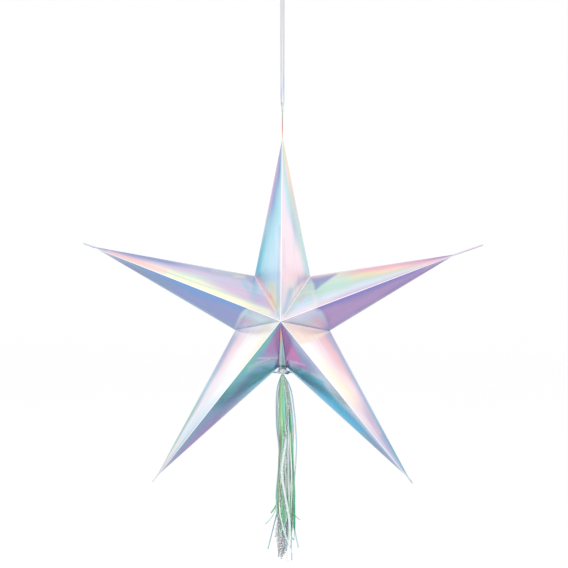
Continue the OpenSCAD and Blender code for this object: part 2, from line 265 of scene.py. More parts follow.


# %% Colour tables of the ten facets
# Each facet: the shades inside its inner arc, then five rows from the arc to the tip. A row runs
# from the ridge to the outline. The rows hold painted shade on the facets that face down and left,
# and painted highlight on those that face up and right.
FACET_ROWS = np.array([0.2, 0.4, 0.6, 0.8, 1.0])
FACET_COLS = np.array([0.06, 0.28, 0.5, 0.74, 0.96])
FACETS = {
    "top_left": ("sky lemon lemon blush petal", "ice sky sky aqua cyan", "pearl sky aqua lagoon glacier",
                 "sky aqua lagoon cobalt orchid", "ice lagoon peri iris orchid",
                 "celery ice iris peri iris"),
    "top_right": ("blush blush white blush white", "petal blush blush blush fog",
                  "blush blush blush haze sage", "blush blush sky mint pink",
                  "pearl sky mint petal straw", "celery sand sand straw straw"),
    "right_up": ("pearl ice mint celery lilac", "petal ice mint celery sand",
                 "heather ice sage straw rose", "heather ice sand apricot rose",
                 "heather petal pink rose orchid", "silver orchid orchid violet violet"),
    "right_low": ("lilac haze silver heather iris", "violet mauve mauve mauve violet",
                  "royal violet mauve mauve grape", "royal violet mauve violet grape",
                  "violet violet mauve violet grape", "violet violet grape grape grape"),
    "lr_out": ("peach peach peach peach petal", "white white blush pink iris",
               "white cream peach blush dusk", "pearl petal heather iris harbour",
               "lilac lilac iris dusk teal", "silver dusk harbour cyan cyan"),
    "lr_in": ("iris steel plum plum plum", "silver iris steel denim teal",
              "silver haze cyan cyan teal", "silver harbour denim teal teal",
              "silver dusk steel steel denim", "iris slate slate slate steel"),
    "ll_in": ("jade steel mauve mauve plum", "jade sage_teal denim teal teal",
              "jade teal slate slate slate", "slate slate slate violet grape",
              "slate slate slate violet violet", "silver slate slate slate silver"),
    "ll_out": ("white cream white white white", "cream white white petal iris",
               "white white pearl pearl lagoon", "ice ice ice pearl sage_teal",
               "silver fog ice ice sage_teal", "dusk iris silver silver silver"),
    "left_low": ("silver fog silver lilac haze", "cornflower peri peri peri steel",
                 "cornflower cornflower peri peri denim", "denim denim steel steel denim",
                 "steel denim steel slate slate", "orchid steel slate iris iris"),
    "left_up": ("pearl heather heather ice lilac", "cream heather heather lilac iris",
                "cream lemon celery heather iris", "cream lemon peach lilac peri",
                "petal apricot pink iris peri", "lilac iris iris peri iris"),
}
print(len(PALETTE), "shades,", len(FACETS), "facets")

# %% Arcs and streaks
# Near the middle each facet carries a painted reflection of its neighbour inside an arc: how far
# up the arm the arc starts at the ridge, and how soft its line is.
ARCS = {"top_left": (0.11, 0.05), "top_right": (0.05, 0.05), "right_up": (0.2, 0.02),
        "right_low": (0.2, 0.006), "lr_out": (0.14, 0.012), "lr_in": (0.3, 0.06),
        "ll_in": (0.24, 0.06), "ll_out": (0.08, 0.07), "left_low": (0.17, 0.006),
        "left_up": (0.15, 0.02)}
# A streak is a soft line of one shade: from (across, along) to (across, along), its half width in
# metres, its shade and its strength. The streaks are mostly painted reflections of neighbouring
# facets, and near the tie they are painted highlights on the film's folds.
STREAKS = {
    "top_left": [(0.9, 0.02, 0.4, 0.035, 0.004, "pink", 0.8),
                 (0.36, 0.12, 0.15, 0.05, 0.006, "lime", 0.8),
                 (0.44, 0.045, 0.18, 0.03, 0.0012, "ember", 0.4),
                 (0.12, 0.0, 0.13, 0.5, 0.0022, "cobalt", 0.25)],
    "top_right": [(0.12, 0.02, 0.36, 0.085, 0.0042, "haze", 0.75),
                  (0.14, 0.28, 0.16, 0.42, 0.0025, "lilac", 0.3),
                  (0.9, 0.16, 0.92, 0.6, 0.003, "mint", 0.5),
                  (0.95, 0.02, 0.3, 0.01, 0.0012, "pink", 0.6)],
    "right_up": [(0.95, 0.03, 0.97, 0.18, 0.0022, "orchid", 0.6),
                 (0.777, 0.048, 0.153, 0.177, 0.0032, "pearl", 0.6),
                 (0.8, 0.035, 0.5, 0.1, 0.001, "straw", 0.5),
                 (0.65, 0.04, 0.72, 0.065, 0.005, "celery", 0.8),
                 (0.426, 0.04, 0.5, 0.05, 0.003, "heather", 0.5),
                 (0.15, 0.01, 0.4, 0.12, 0.0022, "sky", 0.8),
                 (0.12, 0.0, 0.22, 0.03, 0.0014, "straw", 0.6),
                 (0.6, 0.16, 0.6, 0.3, 0.006, "mint", 0.6),
                 (0.35, 0.3, 0.3, 0.8, 0.004, "sage", 0.3)],
    "right_low": [(0.2, 0.0, 1.0, 0.0, 0.003, "wedge_blue", 0.6),
                  (0.08, 0.2, 0.12, 0.8, 0.004, "royal", 0.8),
                  (0.45, 0.09, 0.7, 0.05, 0.003, "rose", 0.4)],
    "lr_out": [(0.28, 0.22, 0.3, 0.5, 0.004, "lemon", 0.3),
               (0.85, 0.15, 0.66, 0.7, 0.0022, "pink", 0.45)],
    "lr_in": [(0.43, 0.055, 0.5, 0.1, 0.0055, "magenta", 0.85),
              (0.75, 0.15, 0.44, 0.3, 0.006, "cyan", 0.8),
              (0.84, 0.057, 0.57, 0.12, 0.0016, "glacier", 0.5),
              (0.78, 0.05, 0.43, 0.178, 0.001, "pearl", 0.5),
              (0.84, 0.06, 0.45, 0.235, 0.002, "smoke", 0.8),
              (0.45, 0.235, 0.09, 0.36, 0.0026, "haze", 0.8),
              (0.6, 0.2, 0.2, 0.34, 0.001, "silver", 0.6),
              (0.8, 0.3, 0.7, 0.62, 0.006, "azure", 0.8)],
    "ll_in": [(0.1, 0.1, 0.1, 0.42, 0.0026, "jade", 0.8),
              (0.75, 0.036, 0.24, 0.179, 0.0014, "silver", 0.7),
              (0.79, 0.049, 0.17, 0.251, 0.0028, "sage_teal", 0.7),
              (0.6, 0.09, 0.3, 0.2, 0.0009, "fog", 0.7), (0.8, 0.07, 0.14, 0.346, 0.005, "teal", 0.7),
              (0.7, 0.02, 0.5, 0.08, 0.002, "denim", 0.5)],
    "ll_out": [(0.1, 0.05, 0.5, 0.05, 0.003, "peach", 0.5),
               (0.92, 0.1, 0.9, 0.5, 0.0025, "iris", 0.4),
               (0.6, 0.75, 0.62, 0.95, 0.002, "apricot", 0.4)],
    "left_low": [(0.2, 0.0, 1.0, 0.0, 0.003, "steel", 0.55),
                 (0.1, 0.2, 0.12, 0.7, 0.005, "cornflower", 0.9),
                 (0.5, 0.07, 0.7, 0.05, 0.003, "rose", 0.2)],
    "left_up": [(0.12, 0.05, 0.2, 0.6, 0.004, "lemon", 0.9),
                (0.25, 0.1, 0.3, 0.6, 0.0012, "mint", 0.7),
                (0.757, 0.028, 0.293, 0.118, 0.0022, "fog", 0.6),
                (0.95, 0.08, 0.97, 0.26, 0.003, "silver", 0.7),
                (0.93, 0.07, 0.9, 0.14, 0.0012, "straw", 0.6),
                (0.3, 0.6, 0.4, 0.92, 0.0025, "pink", 0.6)],
}
# A patch is a painted reflection of a corner of another facet: its own corners as (across, along),
# how soft its edge is in metres, its shade and its strength.
PATCHES = {
    "ll_in": [(((0, 0), (0.32, 0.138), (0.66, 0.034), (0.78, 0)), 0.0016, "plum_grey", 0.95)],
    "lr_in": [(((0, 0), (0.148, 0.073), (0.527, 0.173), (0.84, 0.045), (0.9, 0)), 0.0016, "plum", 0.95)],
    "right_up": [(((0.94, 0.02), (0.97, 0.19), (0.594, 0.107)), 0.0014, "wedge_blue", 0.85)],
    "left_up": [(((0.917, 0.063), (1, 0), (0.764, 0.043)), 0.001, "dusk", 0.6),
                (((0.78, 0.116), (0.474, 0.105), (0.872, 0.064)), 0.0014, "lagoon", 0.75)],
}


def patch_mask(x, z, corners, soft):
    """1 inside a convex patch and 0 outside, by the least distance inside any of its edges."""
    x0, z0 = corners[:, 0], corners[:, 1]
    dx, dz = np.roll(x0, -1) - x0, np.roll(z0, -1) - z0
    turn = np.sign((x0 * np.roll(z0, -1) - np.roll(x0, -1) * z0).sum())
    inside = turn * (dx * (z[..., None] - z0) - dz * (x[..., None] - x0)) / np.hypot(dx, dz)
    return smoothstep(-soft, soft, inside.min(axis=-1))


def arc_line(u, reach):
    """How far along the arm the inner arc lies: reach at the ridge, falling to 0 at the outline."""
    return reach * (1.0 - np.clip(u, 0, 1) ** 1.5)


def table_colour(rows, u, v):
    """The table's shades mixed at (u, v): linear between places, eased by half a smooth S."""
    grid = np.array([[shade(name) for name in row.split()] for row in rows])
    i = np.clip(np.searchsorted(FACET_ROWS, v) - 1, 0, len(FACET_ROWS) - 2)
    j = np.clip(np.searchsorted(FACET_COLS, u) - 1, 0, len(FACET_COLS) - 2)
    a = np.clip((v - FACET_ROWS[i]) / (FACET_ROWS[i + 1] - FACET_ROWS[i]), 0, 1)
    b = np.clip((u - FACET_COLS[j]) / (FACET_COLS[j + 1] - FACET_COLS[j]), 0, 1)
    a, b = ((t + smoothstep(0, 1, t)) / 2 for t in (a, b))
    a, b = a[..., None], b[..., None]
    low = grid[i, j] * (1 - b) + grid[i, j + 1] * b
    high = grid[i + 1, j] * (1 - b) + grid[i + 1, j + 1] * b
    return low * (1 - a) + high * a


def facet_point(u, v, length, notch):
    """Where (u, v) lies on the flat facet, as (across, up) in metres: the ridge runs up to length,
    and the outline runs from the notch, also (across, up), to the same tip."""
    share = u * (1 - v)
    return share * notch[0], v * length + share * notch[1]


def facet_colour(name, u, v, length, notch):
    """The facet's display colour at (u, v): its table with its painted shade, its inner arc of painted
    reflection, its patches and streaks of painted reflection and highlight, and a painted highlight
    along a sharp arc's line.
    """
    wave = 0.035 * np.sin(9.0 * v + 3.0 * u) + 0.02 * np.sin(23.0 * v + 1.7)
    bent_u = np.clip(u + wave * np.sin(math.pi * u), 0, 1)
    bent_v = np.clip(v + 0.03 * np.sin(7.0 * u + 2.0 * v), 0, 1)
    colour = table_colour(FACETS[name][1:], bent_u, bent_v)
    inner_row = np.array([shade(n) for n in FACETS[name][0].split()])
    inner = np.stack([np.interp(bent_u, FACET_COLS, inner_row[:, k]) for k in range(3)], axis=-1)
    reach, soft = ARCS[name]
    gap = arc_line(u, reach) - v
    inside = smoothstep(-soft, soft, gap)[..., None]
    colour = colour * (1 - inside) + inner * inside
    x, z = facet_point(u, v, length, notch)
    for corners, edge, tone, strength in PATCHES.get(name, ()):
        places = np.array([facet_point(a, b, length, notch) for a, b in corners])
        weight = (strength * patch_mask(x, z, places, edge))[..., None]
        colour = colour * (1 - weight) + shade(tone) * weight
    for u0, v0, u1, v1, width, tone, strength in STREAKS[name]:
        x0, z0 = facet_point(u0, v0, length, notch)
        x1, z1 = facet_point(u1, v1, length, notch)
        dx, dz = x1 - x0, z1 - z0
        t = np.clip(((x - x0) * dx + (z - z0) * dz) / (dx * dx + dz * dz), 0, 1)
        away = np.hypot(x - x0 - t * dx, z - z0 - t * dz)
        weight = (strength * np.exp(-(away / width) ** 2))[..., None]
        colour = colour * (1 - weight) + shade(tone) * weight
    # A sharp arc gets a painted silver highlight along its line.
    if soft < 0.01:
        line = (0.5 * np.exp(-(gap / 0.006) ** 2) * smoothstep(0.02, 0.1, u))[..., None]
        colour = colour * (1 - line) + shade("silver") * line
    return colour


# %% [markdown]
# ## Materials
#
# All the materials share one idea: a tint that the mesh carries, a little uneven shimmer along the
# film, and very fine wrinkles. The shimmer and the wrinkles are node groups, so each material sets
# its own scale. Film is a mirror with colour, so most of its brightness is metallic reflection under
# a thin clear coat.

# %% Node helpers
def node(tree, kind, inputs=(), **settings):
    """A new node with some of its inputs set or linked, by name or number."""
    made = tree.nodes.new(kind)
    for key, value in settings.items():
        setattr(made, key, value)
    for key, value in dict(inputs).items():
        if isinstance(value, bpy.types.NodeSocket):
            tree.links.new(value, made.inputs[key])
        else:
            made.inputs[key].default_value = value
    return made


def new_group(name, inputs, outputs):
    """An empty node group with named sockets: a dict of name to (kind, default) and one of name to
    kind. Returns the group, its input node and its output node."""
    group = bpy.data.node_groups.new(name, "ShaderNodeTree")
    for label, (kind, default) in inputs.items():
        group.interface.new_socket(label, in_out="INPUT", socket_type=kind).default_value = default
    for label, kind in outputs.items():
        group.interface.new_socket(label, in_out="OUTPUT", socket_type=kind)
    return group, group.nodes.new("NodeGroupInput"), group.nodes.new("NodeGroupOutput")


# %% Shimmer group
def shimmer_group():
    """Uneven rainbow shimmer along the film: stretched noise picks pale shades from a ramp, and a
    share of them is laid over the tint. The same noise makes the gloss a little uneven."""
    group, inner, outer = new_group(
        "film_shimmer",
        {"Tint": ("NodeSocketColor", (1, 1, 1, 1)), "Across": ("NodeSocketFloat", 14.0),
         "Along": ("NodeSocketFloat", 2.5), "Amount": ("NodeSocketFloat", 0.12),
         "Gloss": ("NodeSocketFloat", 0.16)},
        {"Color": "NodeSocketColor", "Roughness": "NodeSocketFloat"})
    uv = node(group, "ShaderNodeUVMap", uv_map="film")
    scales = node(group, "ShaderNodeCombineXYZ", {0: inner.outputs["Across"],
                                                  1: inner.outputs["Along"], 2: 1.0})
    stretched = node(group, "ShaderNodeVectorMath", {0: uv.outputs[0], 1: scales.outputs[0]},
                     operation="MULTIPLY")
    noise = node(group, "ShaderNodeTexNoise", {"Vector": stretched.outputs[0], "Scale": 1.0,
                                               "Detail": 3.0, "Roughness": 0.55, "Distortion": 0.4})
    ramp = node(group, "ShaderNodeValToRGB", {0: noise.outputs[0]})
    stops = [(0.3, "cobalt"), (0.4, "mint"), (0.5, "white"), (0.6, "pink"), (0.7, "orchid")]
    elements = ramp.color_ramp.elements
    while len(elements) < len(stops):
        elements.new(0.5)
    for element, (place, tone) in zip(elements, stops):
        element.position = place
        element.color = (*linear(shade(tone)), 1)
    mixed = node(group, "ShaderNodeMix", data_type="RGBA", blend_type="MULTIPLY")
    group.links.new(inner.outputs["Amount"], mixed.inputs[0])
    group.links.new(inner.outputs["Tint"], mixed.inputs[6])
    group.links.new(ramp.outputs[0], mixed.inputs[7])
    rough = node(group, "ShaderNodeMath", {0: noise.outputs[0], 1: 0.14, 2: inner.outputs["Gloss"]},
                 operation="MULTIPLY_ADD")
    group.links.new(mixed.outputs[2], outer.inputs["Color"])
    group.links.new(rough.outputs[0], outer.inputs["Roughness"])
    return group


# %% Crinkle group
def crinkle_group():
    """Fine wrinkles: two sizes of noise in the piece's own coordinates, as a bumped normal."""
    group, inner, outer = new_group(
        "film_crinkle",
        {"Size": ("NodeSocketFloat", 90.0), "Depth": ("NodeSocketFloat", 0.0002)},
        {"Normal": "NodeSocketVector", "Height": "NodeSocketFloat"})
    place = node(group, "ShaderNodeTexCoord")
    coarse = node(group, "ShaderNodeTexNoise", {"Vector": place.outputs["Object"],
                                                "Scale": inner.outputs["Size"], "Detail": 2.0})
    finer = node(group, "ShaderNodeMath", {0: inner.outputs["Size"], 1: 6.0}, operation="MULTIPLY")
    fine = node(group, "ShaderNodeTexNoise", {"Vector": place.outputs["Object"],
                                              "Scale": finer.outputs[0], "Detail": 1.0})
    height = node(group, "ShaderNodeMath", {0: fine.outputs[0], 1: 0.15, 2: coarse.outputs[0]},
                  operation="MULTIPLY_ADD")
    bump = node(group, "ShaderNodeBump", {"Height": height.outputs[0],
                                          "Distance": inner.outputs["Depth"]})
    group.links.new(bump.outputs[0], outer.inputs["Normal"])
    group.links.new(height.outputs[0], outer.inputs["Height"])
    return group


SHIMMER = shimmer_group()
CRINKLE = crinkle_group()
print("groups", SHIMMER.name, CRINKLE.name)


# %% Film materials
def film_material(name, metallic, gloss, amount, across, along, crinkle_size, crinkle_depth,
                  coat=0.3, clear=0.0):
    """Film that takes its tint from the piece's film_tint_and_painted_light colours. Where the tint's alpha is 0 the
    film is a bare card edge, so the metal share follows the alpha. clear is how much light passes."""
    material = bpy.data.materials.new(name)
    material.use_nodes = True
    tree = material.node_tree
    shader = tree.nodes["Principled BSDF"]
    # The attribute holds the film's colour together with painted shade, highlights and reflections.
    tint = node(tree, "ShaderNodeAttribute", attribute_name="film_tint_and_painted_light")
    shimmer = node(tree, "ShaderNodeGroup", node_tree=SHIMMER)
    tree.links.new(tint.outputs["Color"], shimmer.inputs["Tint"])
    for label, value in (("Across", across), ("Along", along), ("Amount", amount), ("Gloss", gloss)):
        shimmer.inputs[label].default_value = value
    crinkle = node(tree, "ShaderNodeGroup", node_tree=CRINKLE)
    crinkle.inputs["Size"].default_value = crinkle_size
    crinkle.inputs["Depth"].default_value = crinkle_depth
    metal = node(tree, "ShaderNodeMath", {0: tint.outputs["Alpha"], 1: metallic}, operation="MULTIPLY")
    tree.links.new(shimmer.outputs["Color"], shader.inputs["Base Color"])
    tree.links.new(shimmer.outputs["Roughness"], shader.inputs["Roughness"])
    tree.links.new(metal.outputs[0], shader.inputs["Metallic"])
    tree.links.new(crinkle.outputs["Normal"], shader.inputs["Normal"])
    shader.inputs["Coat Weight"].default_value = coat
    shader.inputs["Coat Roughness"].default_value = 0.06
    shader.inputs["Transmission Weight"].default_value = clear
    shader.inputs["IOR"].default_value = 1.45
    return material


iridescent = film_material("iridescent_film", 0.65, 0.1, 0.14, 16.0, 2.2, 60.0, 0.00012)
flap_film = film_material("flap_film", 0.7, 0.14, 0.3, 9.0, 2.0, 90.0, 0.00015)
clear_ribbon = film_material("clear_ribbon_film", 0.2, 0.14, 0.1, 2.0, 30.0, 150.0, 0.0001, 0.5, 0.05)
clear_tie = film_material("clear_tie_film", 0.1, 0.1, 0.2, 3.0, 12.0, 400.0, 0.0003, 0.8, 0.1)
print("materials", [m.name for m in bpy.data.materials])

# %% [markdown]
# ## Strips of film
#
# The ribbon, the loop, the tie, the knots and the tassel are all narrow strips of film. One function
# makes them: a flat six-sided profile is carried along many lines at once. The profile is as wide as
# the strip, very thin, and turned about the line, so that a strip can twist and curl.

# %% Strip surface
def unit(vectors):
    """The vectors at length 1."""
    return vectors / np.maximum(np.linalg.norm(vectors, axis=-1, keepdims=True), 1e-12)


def carry_strips(lines, widths, facing, thickness=0.00012, cup=0.12, closed=False):
    """Points (strips, rows, 6, 3) of flat profiles carried along lines (strips, rows, 3). The width
    direction is facing, made square to the line. cup bows the profile by that share of its width."""
    lines = np.asarray(lines, dtype=float)
    if closed:
        along = unit(np.roll(lines, -1, axis=1) - np.roll(lines, 1, axis=1))
    else:
        along = unit(np.gradient(lines, axis=1))
    facing = np.broadcast_to(facing, lines.shape)
    wide = unit(facing - (facing * along).sum(-1, keepdims=True) * along)
    deep = np.cross(along, wide)
    widths = np.broadcast_to(widths, lines.shape[:2])[..., None, None]
    side = np.array([-0.5, 0.0, 0.5, 0.5, 0.0, -0.5])[None, None, :, None]
    lift = np.array([0.0, 1.0, 0.0, 0.0, 1.0, 0.0])[None, None, :, None] * cup * widths
    skin = np.array([-0.5, -0.5, -0.5, 0.5, 0.5, 0.5])[None, None, :, None] * thickness
    return (lines[:, :, None, :] + wide[:, :, None, :] * side * widths
            + deep[:, :, None, :] * (lift + skin))


def strip_faces(strips, rows, closed=False):
    """Faces round and along every strip, and two at each open end."""
    one = grid_faces(rows, 6, close_cols=True)
    if closed:
        last = (rows - 1) * 6 + np.arange(6)
        first = np.arange(6)
        join = np.stack([last, np.roll(last, -1), np.roll(first, -1), first], axis=-1)
        one = np.concatenate([one, join])
    else:
        ends = np.array([[0, 1, 4, 5], [1, 2, 3, 4]])
        one = np.concatenate([one, ends[:, ::-1], ends + (rows - 1) * 6])
    return (np.arange(strips)[:, None, None] * rows * 6 + one[None]).reshape(-1, 4)


def film_uv(piece, uv):
    """Gives each point of the piece its place on the film, (across, along), as the map called film."""
    mesh = piece.data
    corners = np.empty(len(mesh.loops), dtype=np.int32)
    mesh.loops.foreach_get("vertex_index", corners)
    layer = mesh.uv_layers.new(name="film")
    layer.data.foreach_set("uv", np.asarray(uv, dtype=np.float32)[corners].ravel())


def make_strips(name, lines, widths, facing, tints, material, thickness=0.00012, cup=0.12,
                closed=False):
    """A piece of many strips. tints is one display colour for each strip, or one for each row."""
    lines = np.asarray(lines, dtype=float)
    strips, rows = lines.shape[:2]
    points = carry_strips(lines, widths, facing, thickness, cup, closed)
    faces = strip_faces(strips, rows, closed)
    piece = make_piece(name, points, faces, material)
    tints = np.asarray(tints, dtype=float)
    if tints.ndim == 2:
        tints = tints[:, None, :]
    colours = np.broadcast_to(tints[:, :, None, :], (strips, rows, 6, 3)).reshape(-1, 3)
    paint(piece, "film_tint_and_painted_light", linear(colours))
    across = np.broadcast_to(np.array([0, 0.5, 1, 1, 0.5, 0]), (strips, rows, 6))
    share = np.broadcast_to(np.linspace(0, 1, rows)[None, :, None], (strips, rows, 6))
    lane = np.broadcast_to(np.arange(strips)[:, None, None] * 1.37, (strips, rows, 6))
    film_uv(piece, np.stack([across + lane, share], axis=-1).reshape(-1, 2))
    return piece

# %% [markdown]
# ## The ribbon
#
# One clear film ribbon runs down from the knot, through the hole in the top tab and back up to the
# knot. It is a free cord, so its line is fixed first: two straight strands and a tight turn under
# the hole's edge. The strands face the front, and gather and turn sideways to pass through the hole.

# %% Ribbon route
knot_low, knot_high = (np.array(c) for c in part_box("ribbon_knot"))
ribbon_low, ribbon_high = (np.array(c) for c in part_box("hanging_ribbon"))
STRAND_X = 0.0018
RIBBON_TOP_Z = ribbon_high[2]
TURN_Z = ribbon_low[2] + 0.001
STRAND_SHARES = [1, 0.92, 0.84, 0.76, 0.68, 0.6, 0.52, 0.44, 0.36, 0.28, 0.2, 0.13, 0.07, 0.03]
TURN_ROUTE = [(-1, 0.0017), (-0.92, 0.0011), (-0.75, 0.0006), (-0.5, 0.0002), (-0.25, 0), (0, 0)]
left_strand = [(-STRAND_X, TURN_Z + share * (RIBBON_TOP_Z - TURN_Z)) for share in STRAND_SHARES]
left_strand += [(across * STRAND_X, TURN_Z + up) for across, up in TURN_ROUTE]
ribbon_route = np.array([(x, 0.0, z) for x, z in left_strand]
                        + [(-x, 0.0, z) for x, z in left_strand[-2::-1]])


# %% Ribbon strip
def even_line(route, count):
    """The route's points again, but count of them at even spacing along it."""
    steps = np.concatenate([[0], np.cumsum(np.linalg.norm(np.diff(route, axis=0), axis=1))])
    places = np.linspace(0, steps[-1], count)
    return np.stack([np.interp(places, steps, route[:, k]) for k in range(3)], axis=-1)


RIBBON_ROWS = 401
ribbon_line = even_line(ribbon_route, RIBBON_ROWS)
above_turn = ribbon_line[:, 2] - TURN_Z
gathered = 1 - smoothstep(0.004, 0.024, above_turn)
side = np.sign(ribbon_line[:, 0] + 1e-9)
sway = 0.12 * np.sin(above_turn * 60.0 + side)
turn_angle = gathered * math.pi / 2 + (1 - gathered) * sway
ribbon_facing = np.stack([np.cos(turn_angle), np.sin(turn_angle), np.zeros(RIBBON_ROWS)], axis=-1)
# The film is gathered at the hole, opens out above it and is widest higher up
ribbon_width = (0.0016 + 0.0010 * smoothstep(0.006, 0.03, above_turn)
                + 0.0006 * smoothstep(0.05, 0.12, above_turn))
edge_tone = 0.5 + 0.5 * np.sin(above_turn * 140.0 + 2.0 * side)
edge_tone = edge_tone * (1 - smoothstep(0.03, 0.09, above_turn))
ribbon_tint = shade("paper_grey") * (1 - edge_tone[:, None]) + shade("edge_blue") * edge_tone[:, None]
ribbon = make_strips("ribbon_film", ribbon_line[None], ribbon_width[None], ribbon_facing[None],
                     ribbon_tint[None], clear_ribbon, 0.00025, 0.08)
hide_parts("hanging_ribbon")
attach(ribbon, "ribbon")
print("ribbon strip", len(ribbon.data.polygons), "faces")

# %% [markdown]
# ## Knot and hanging loop
#
# The two ends of the ribbon are tied in an overhand knot, whose line is a trefoil: a curve that winds
# twice round while it rises and falls three times. Above it the film runs on into an open loop for
# the hook.

# %% Ribbon knot
KNOT_ROWS = 120
wind = np.linspace(0, 2 * math.pi, KNOT_ROWS, endpoint=False)
knot_radius = (knot_high[0] - knot_low[0]) / 2
knot_mid = (knot_low + knot_high) / 2
trefoil = np.stack([(2 + np.cos(3 * wind)) * np.cos(2 * wind), np.sin(3 * wind),
                    (2 + np.cos(3 * wind)) * np.sin(2 * wind)], axis=-1)
trefoil_line = knot_mid + trefoil * (knot_radius - 0.0007) / 3.0
knot_piece = make_strips("ribbon_knot_film", trefoil_line[None], 0.0021, unit(trefoil)[None],
                         shade("silver")[None], clear_ribbon, 0.0006, 0.1, closed=True)
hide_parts("ribbon_knot")
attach(knot_piece, "knot")

# %% Hanging loop
LOOP_ROWS = 144
loop_low, loop_high = (np.array(c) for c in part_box("hanging_loop"))
loop_outer = (loop_high[0] - loop_low[0]) / 2
turn = np.linspace(0, 2 * math.pi, LOOP_ROWS, endpoint=False)
waver = 0.00012 * np.sin(5 * turn) + 0.00008 * np.sin(9 * turn + 1)
loop_lines = np.stack([
    np.stack([(loop_outer - inset + waver) * np.sin(turn), shift * np.sin(turn * 2),
              (loop_outer - inset + waver) * np.cos(turn)], axis=-1)
    for inset, shift in ((0.00065, 0.0002), (0.00035, -0.0002))])
pinch = 1 - 0.35 * np.exp(-((turn - math.pi) / 0.35) ** 2)
loop_piece = make_strips("hanging_loop_film", loop_lines, 0.0027 * pinch[None],
                         np.array([0.0, 1.0, 0.0]), np.stack([shade("ice"), shade("silver")]),
                         clear_ribbon, 0.00018, 0.03, closed=True)
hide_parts("hanging_loop")
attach(loop_piece, "loop")
print("loop radius", round(loop_outer, 4))

# %% [markdown]
# ## The card panels
#
# Each arm is two panels of film card. A panel starts at the front ridge, runs flat to the outline,
# bends round it and runs back to the rear ridge. Its rows are lines across the arm, from the valley
# beside the notch to the tip, where the two panels close into a flat tab. The outline's bend gets
# wider away from the notch and narrow again at the tip. The film is slightly buckled, and near the
# tie it is pulled into folds.

# %% Panel sections
# Arms clockwise from the top: direction in degrees, centre to tip, and the flat tab's length
SIDE_ARM_RISE, LOWER_ARM_FALL, SIDE_NOTCH_FALL = 19.5, 52.5, 19.0
ARM_ANGLES = [90, SIDE_ARM_RISE, -LOWER_ARM_FALL, LOWER_ARM_FALL - 180, -180 - SIDE_ARM_RISE]
TIPS = TIP_RADIUS + LOWER_ARM_EXTRA * np.array([0, 0, 1, 1, 0])
TAB_LENGTHS = np.array([0.054, 0.046, 0.012, 0.012, 0.018])
LENGTHS = TIPS - TAB_LENGTHS
# Notches clockwise from the one left of the top arm: direction and distance
UPPER_NOTCH = NOTCH_RADIUS - UPPER_NOTCH_INSET
NOTCHES = [(126, UPPER_NOTCH), (54, UPPER_NOTCH), (-SIDE_NOTCH_FALL, NOTCH_RADIUS),
           (-90, NOTCH_RADIUS), (SIDE_NOTCH_FALL - 180, NOTCH_RADIUS), (-234, UPPER_NOTCH)]
STRAIGHT_COLS = 26
BEND_COLS = 9
CREASE = np.array([0.0, 0.00035, 0.0007, 0.0011])


def stations():
    """Rows along the arm, as shares: close together beside the valley, then even to the tip."""
    return np.concatenate([[0.0, 0.0016, 0.0032, 0.0055, 0.009], np.linspace(0.014, 1.0, 116)])


def notch_beside(arm, side):
    """The notch on one side of an upright arm, as (across, up)."""
    angle, distance = NOTCHES[arm + 1 if side > 0 else arm]
    away = math.radians(side * (ARM_ANGLES[arm] - angle))
    return distance * math.sin(away), distance * math.cos(away)


def half_section(share, notch):
    """The front half of a section, from the ridge to the outline: straight, then half of a
    quadratic bend. Returns points (rows, cols, 2) as across and depth."""
    share = share[:, None]
    ridge = HALF_DEPTH + (TAB_DEPTH / 2 - HALF_DEPTH) * share
    edge = notch[0] + (TAB_T / 2 - notch[0]) * share
    q = NOTCH_BEND + (ARM_BEND - NOTCH_BEND) * np.sin(math.pi * np.minimum(1, share * 1.1) * 0.9)
    corner = edge / (1 - q / 2)
    start_x, start_y = corner * (1 - q), -ridge * q
    run = np.hypot(start_x, ridge + start_y)
    crease = np.minimum(CREASE / run, 0.5 * np.arange(4) / 4)
    rest = np.linspace(0, 1, STRAIGHT_COLS + 1)[1:]
    along = np.concatenate([crease, crease[:, -1:] + (1 - crease[:, -1:]) * rest], axis=1)
    flat_x, flat_y = start_x * along, -ridge + (start_y + ridge) * along
    t = np.linspace(0, 0.5, BEND_COLS + 1)[1:][None]
    bend_x = (1 - t) ** 2 * start_x + 2 * t * (1 - t) * corner + t ** 2 * start_x
    bend_y = (1 - t) ** 2 * start_y - t ** 2 * start_y
    return np.stack([np.concatenate([flat_x, bend_x], axis=1),
                     np.concatenate([flat_y, bend_y], axis=1)], axis=-1), edge, ridge


def buckle(u, v, x, z, seed, tie_point):
    """How far the film lies below the true facet: slow waves that die out at every edge, and folds
    that fan out from the tie where tie_point, (across, up), is given."""
    rim = np.clip(4 * u * (1 - u), 0, 1) * np.clip(12 * v, 0, 1) * np.clip(6 * (1 - v), 0, 1)
    waves = 0.5 + 0.5 * np.sin(17 * v + 3 * u + seed) * np.sin(5 * u + 7 * v + 2 * seed)
    depth = 0.00030 * rim * waves
    if tie_point is not None:
        away = np.hypot(x - tie_point[0], z - tie_point[1])
        angle = np.arctan2(z - tie_point[1], tie_point[0] - x)
        fold = 0.5 + 0.5 * np.sin(7 * angle + 90 * away)
        envelope = smoothstep(0.002, 0.014, away) * np.exp(-(away / 0.034) ** 2)
        calm = np.clip(5 * (1 - u) + 0.15, 0, 1) * np.clip(8 * u, 0, 1)
        depth = depth + 0.0005 * fold * envelope * calm
    return depth


print("rows", len(stations()), "columns", 2 * (4 + STRAIGHT_COLS + BEND_COLS) - 1)

